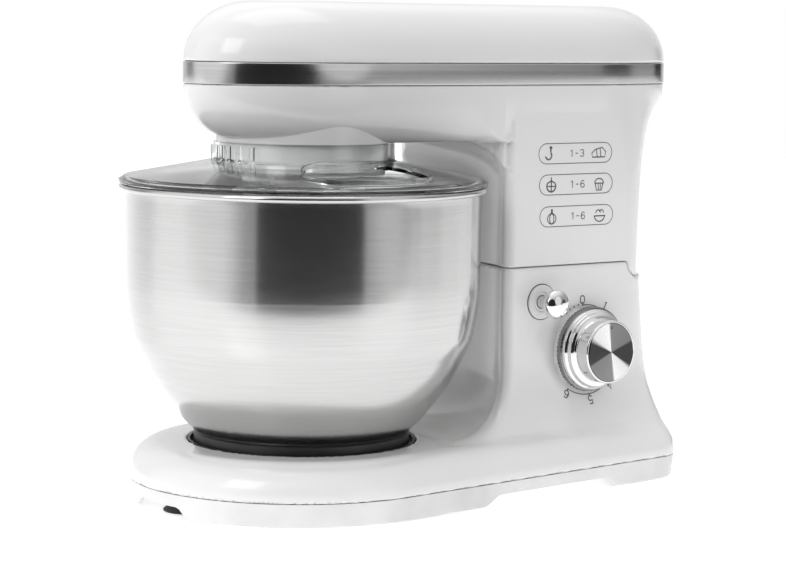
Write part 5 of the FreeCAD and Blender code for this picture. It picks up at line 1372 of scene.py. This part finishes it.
class MIXER_OT_stage(bpy.types.Operator):
    """Set up the floor, the soft lights and the camera"""
    bl_idname = "mixer.stage"
    bl_label = "Studio"

    def floor(self):
        """A pale sheet that ends short of the camera, so the bowl mirrors the dark room."""
        ahead = Vector((-math.sin(CAMERA_TURN), -math.cos(CAMERA_TURN), 0.0))
        across = Vector((ahead.y, -ahead.x, 0.0))
        rows = [SHEET_NEAR - i * (SHEET_NEAR + SHEET_FAR) / 40 for i in range(41)]
        points = [tuple(ahead * row + across * side) for row in rows
                  for side in (-SHEET_FAR, SHEET_FAR)]
        faces = [(2 * i, 2 * i + 1, 2 * i + 3, 2 * i + 2) for i in range(40)]
        mesh = bpy.data.meshes.new("studio_floor")
        mesh.from_pydata(points, [], faces)
        mesh.materials.append(MATERIALS["floor"])
        made = bpy.data.objects.new("studio_floor", mesh)
        bpy.context.scene.collection.objects.link(made)

    def world(self):
        """White sheet behind the mixer; bright panels and dark gaps round it for the metal."""
        made = bpy.data.worlds.new("studio")
        made.use_nodes = True
        tree = made.node_tree
        back = tree.nodes["Background"]
        coords = tree.nodes.new("ShaderNodeTexCoord")
        total = None
        for heading, dip, near, far, level in PANELS:
            facing = tree.nodes.new("ShaderNodeVectorMath")
            facing.operation = "DOT_PRODUCT"
            turn = math.radians(heading)
            rise = math.radians(dip)
            facing.inputs[1].default_value = (math.sin(turn) * math.cos(rise),
                                              -math.cos(turn) * math.cos(rise), math.sin(rise))
            tree.links.new(coords.outputs["Generated"], facing.inputs[0])
            ramp = tree.nodes.new("ShaderNodeMapRange")
            ramp.interpolation_type = "SMOOTHSTEP"
            ramp.inputs["From Min"].default_value = math.cos(math.radians(far))
            ramp.inputs["From Max"].default_value = math.cos(math.radians(near))
            ramp.inputs["To Min"].default_value = 0.0
            ramp.inputs["To Max"].default_value = level
            tree.links.new(facing.outputs["Value"], ramp.inputs["Value"])
            add = tree.nodes.new("ShaderNodeMath")
            add.operation = "ADD"
            tree.links.new(ramp.outputs["Result"], add.inputs[0])
            if total is None:
                add.inputs[1].default_value = ROOM_LEVEL
            else:
                tree.links.new(total, add.inputs[1])
            total = add.outputs[0]
        floor_limit = tree.nodes.new("ShaderNodeMath")
        floor_limit.operation = "MAXIMUM"
        floor_limit.inputs[1].default_value = 0.02
        tree.links.new(total, floor_limit.inputs[0])
        rays = tree.nodes.new("ShaderNodeLightPath")
        choose = tree.nodes.new("ShaderNodeMix")
        choose.inputs["B"].default_value = 1.0
        tree.links.new(rays.outputs["Is Camera Ray"], choose.inputs["Factor"])
        tree.links.new(floor_limit.outputs[0], choose.inputs["A"])
        tree.links.new(choose.outputs["Result"], back.inputs["Strength"])
        back.inputs["Color"].default_value = (1.0, 1.0, 1.0, 1.0)
        bpy.context.scene.world = made

    def camera(self):
        data = bpy.data.cameras.new("studio_camera")
        data.lens = CAMERA_LENS
        data.sensor_width = 36.0
        data.clip_end = 50.0
        made = bpy.data.objects.new("studio_camera", data)
        made.location = CAMERA_PLACE
        ahead = Vector((math.sin(CAMERA_TURN) * math.cos(CAMERA_DIP),
                        math.cos(CAMERA_TURN) * math.cos(CAMERA_DIP), -math.sin(CAMERA_DIP)))
        turn = ahead.to_track_quat("-Z", "Y").to_matrix() @ Matrix.Rotation(CAMERA_ROLL, 3, "Z")
        made.rotation_euler = turn.to_euler()
        bpy.context.scene.collection.objects.link(made)
        bpy.context.scene.camera = made

    def execute(self, context):
        self.floor()
        self.world()
        self.camera()
        middle = (0.0, 0.0, 0.15)
        area_light("key_soft", (-1.7, -0.5, 1.2), middle, 0.8, 7.0, 1.0)
        area_light("top_soft", (0.0, 0.1, 1.7), middle, 1.0, 4.0)
        bpy.context.scene.view_settings.view_transform = "Standard"
        return {"FINISHED"}


class MIXER_PT_panel(bpy.types.Panel):
    """Lists the mixer's steps"""
    bl_label = "Stand mixer"
    bl_idname = "MIXER_PT_panel"
    bl_space_type = "VIEW_3D"
    bl_region_type = "UI"
    bl_category = "Mixer"

    def draw(self, context):
        for step in STEPS:
            self.layout.operator(step.bl_idname)
        for group in (context.scene.mixer_sizes, context.scene.mixer_colours):
            column = self.layout.column()
            for name in group.__annotations__:
                column.prop(group, name)


STEPS = (MIXER_OT_materials, MIXER_OT_finishes, MIXER_OT_lower_casing, MIXER_OT_upper_casing,
         MIXER_OT_top_cover, MIXER_OT_trim_band, MIXER_OT_bottom_tray, MIXER_OT_bowl,
         MIXER_OT_knob, MIXER_OT_lock, MIXER_OT_dial_print, MIXER_OT_guide_print, MIXER_OT_stage)
CLASSES = (MixerSizes, MixerColours, *STEPS, MIXER_PT_panel)


def register():
    for cls in CLASSES:
        bpy.utils.register_class(cls)
    bpy.types.Scene.mixer_sizes = PointerProperty(type=MixerSizes)
    bpy.types.Scene.mixer_colours = PointerProperty(type=MixerColours)


def unregister():
    del bpy.types.Scene.mixer_colours
    del bpy.types.Scene.mixer_sizes
    for cls in reversed(CLASSES):
        bpy.utils.unregister_class(cls)


def main():
    register()
    for step in STEPS:
        area, name = step.bl_idname.split(".")
        result = getattr(getattr(bpy.ops, area), name)()
        if "FINISHED" not in result:
            raise RuntimeError(step.bl_label + " didn't finish")


if __name__ == "__main__":
    main()
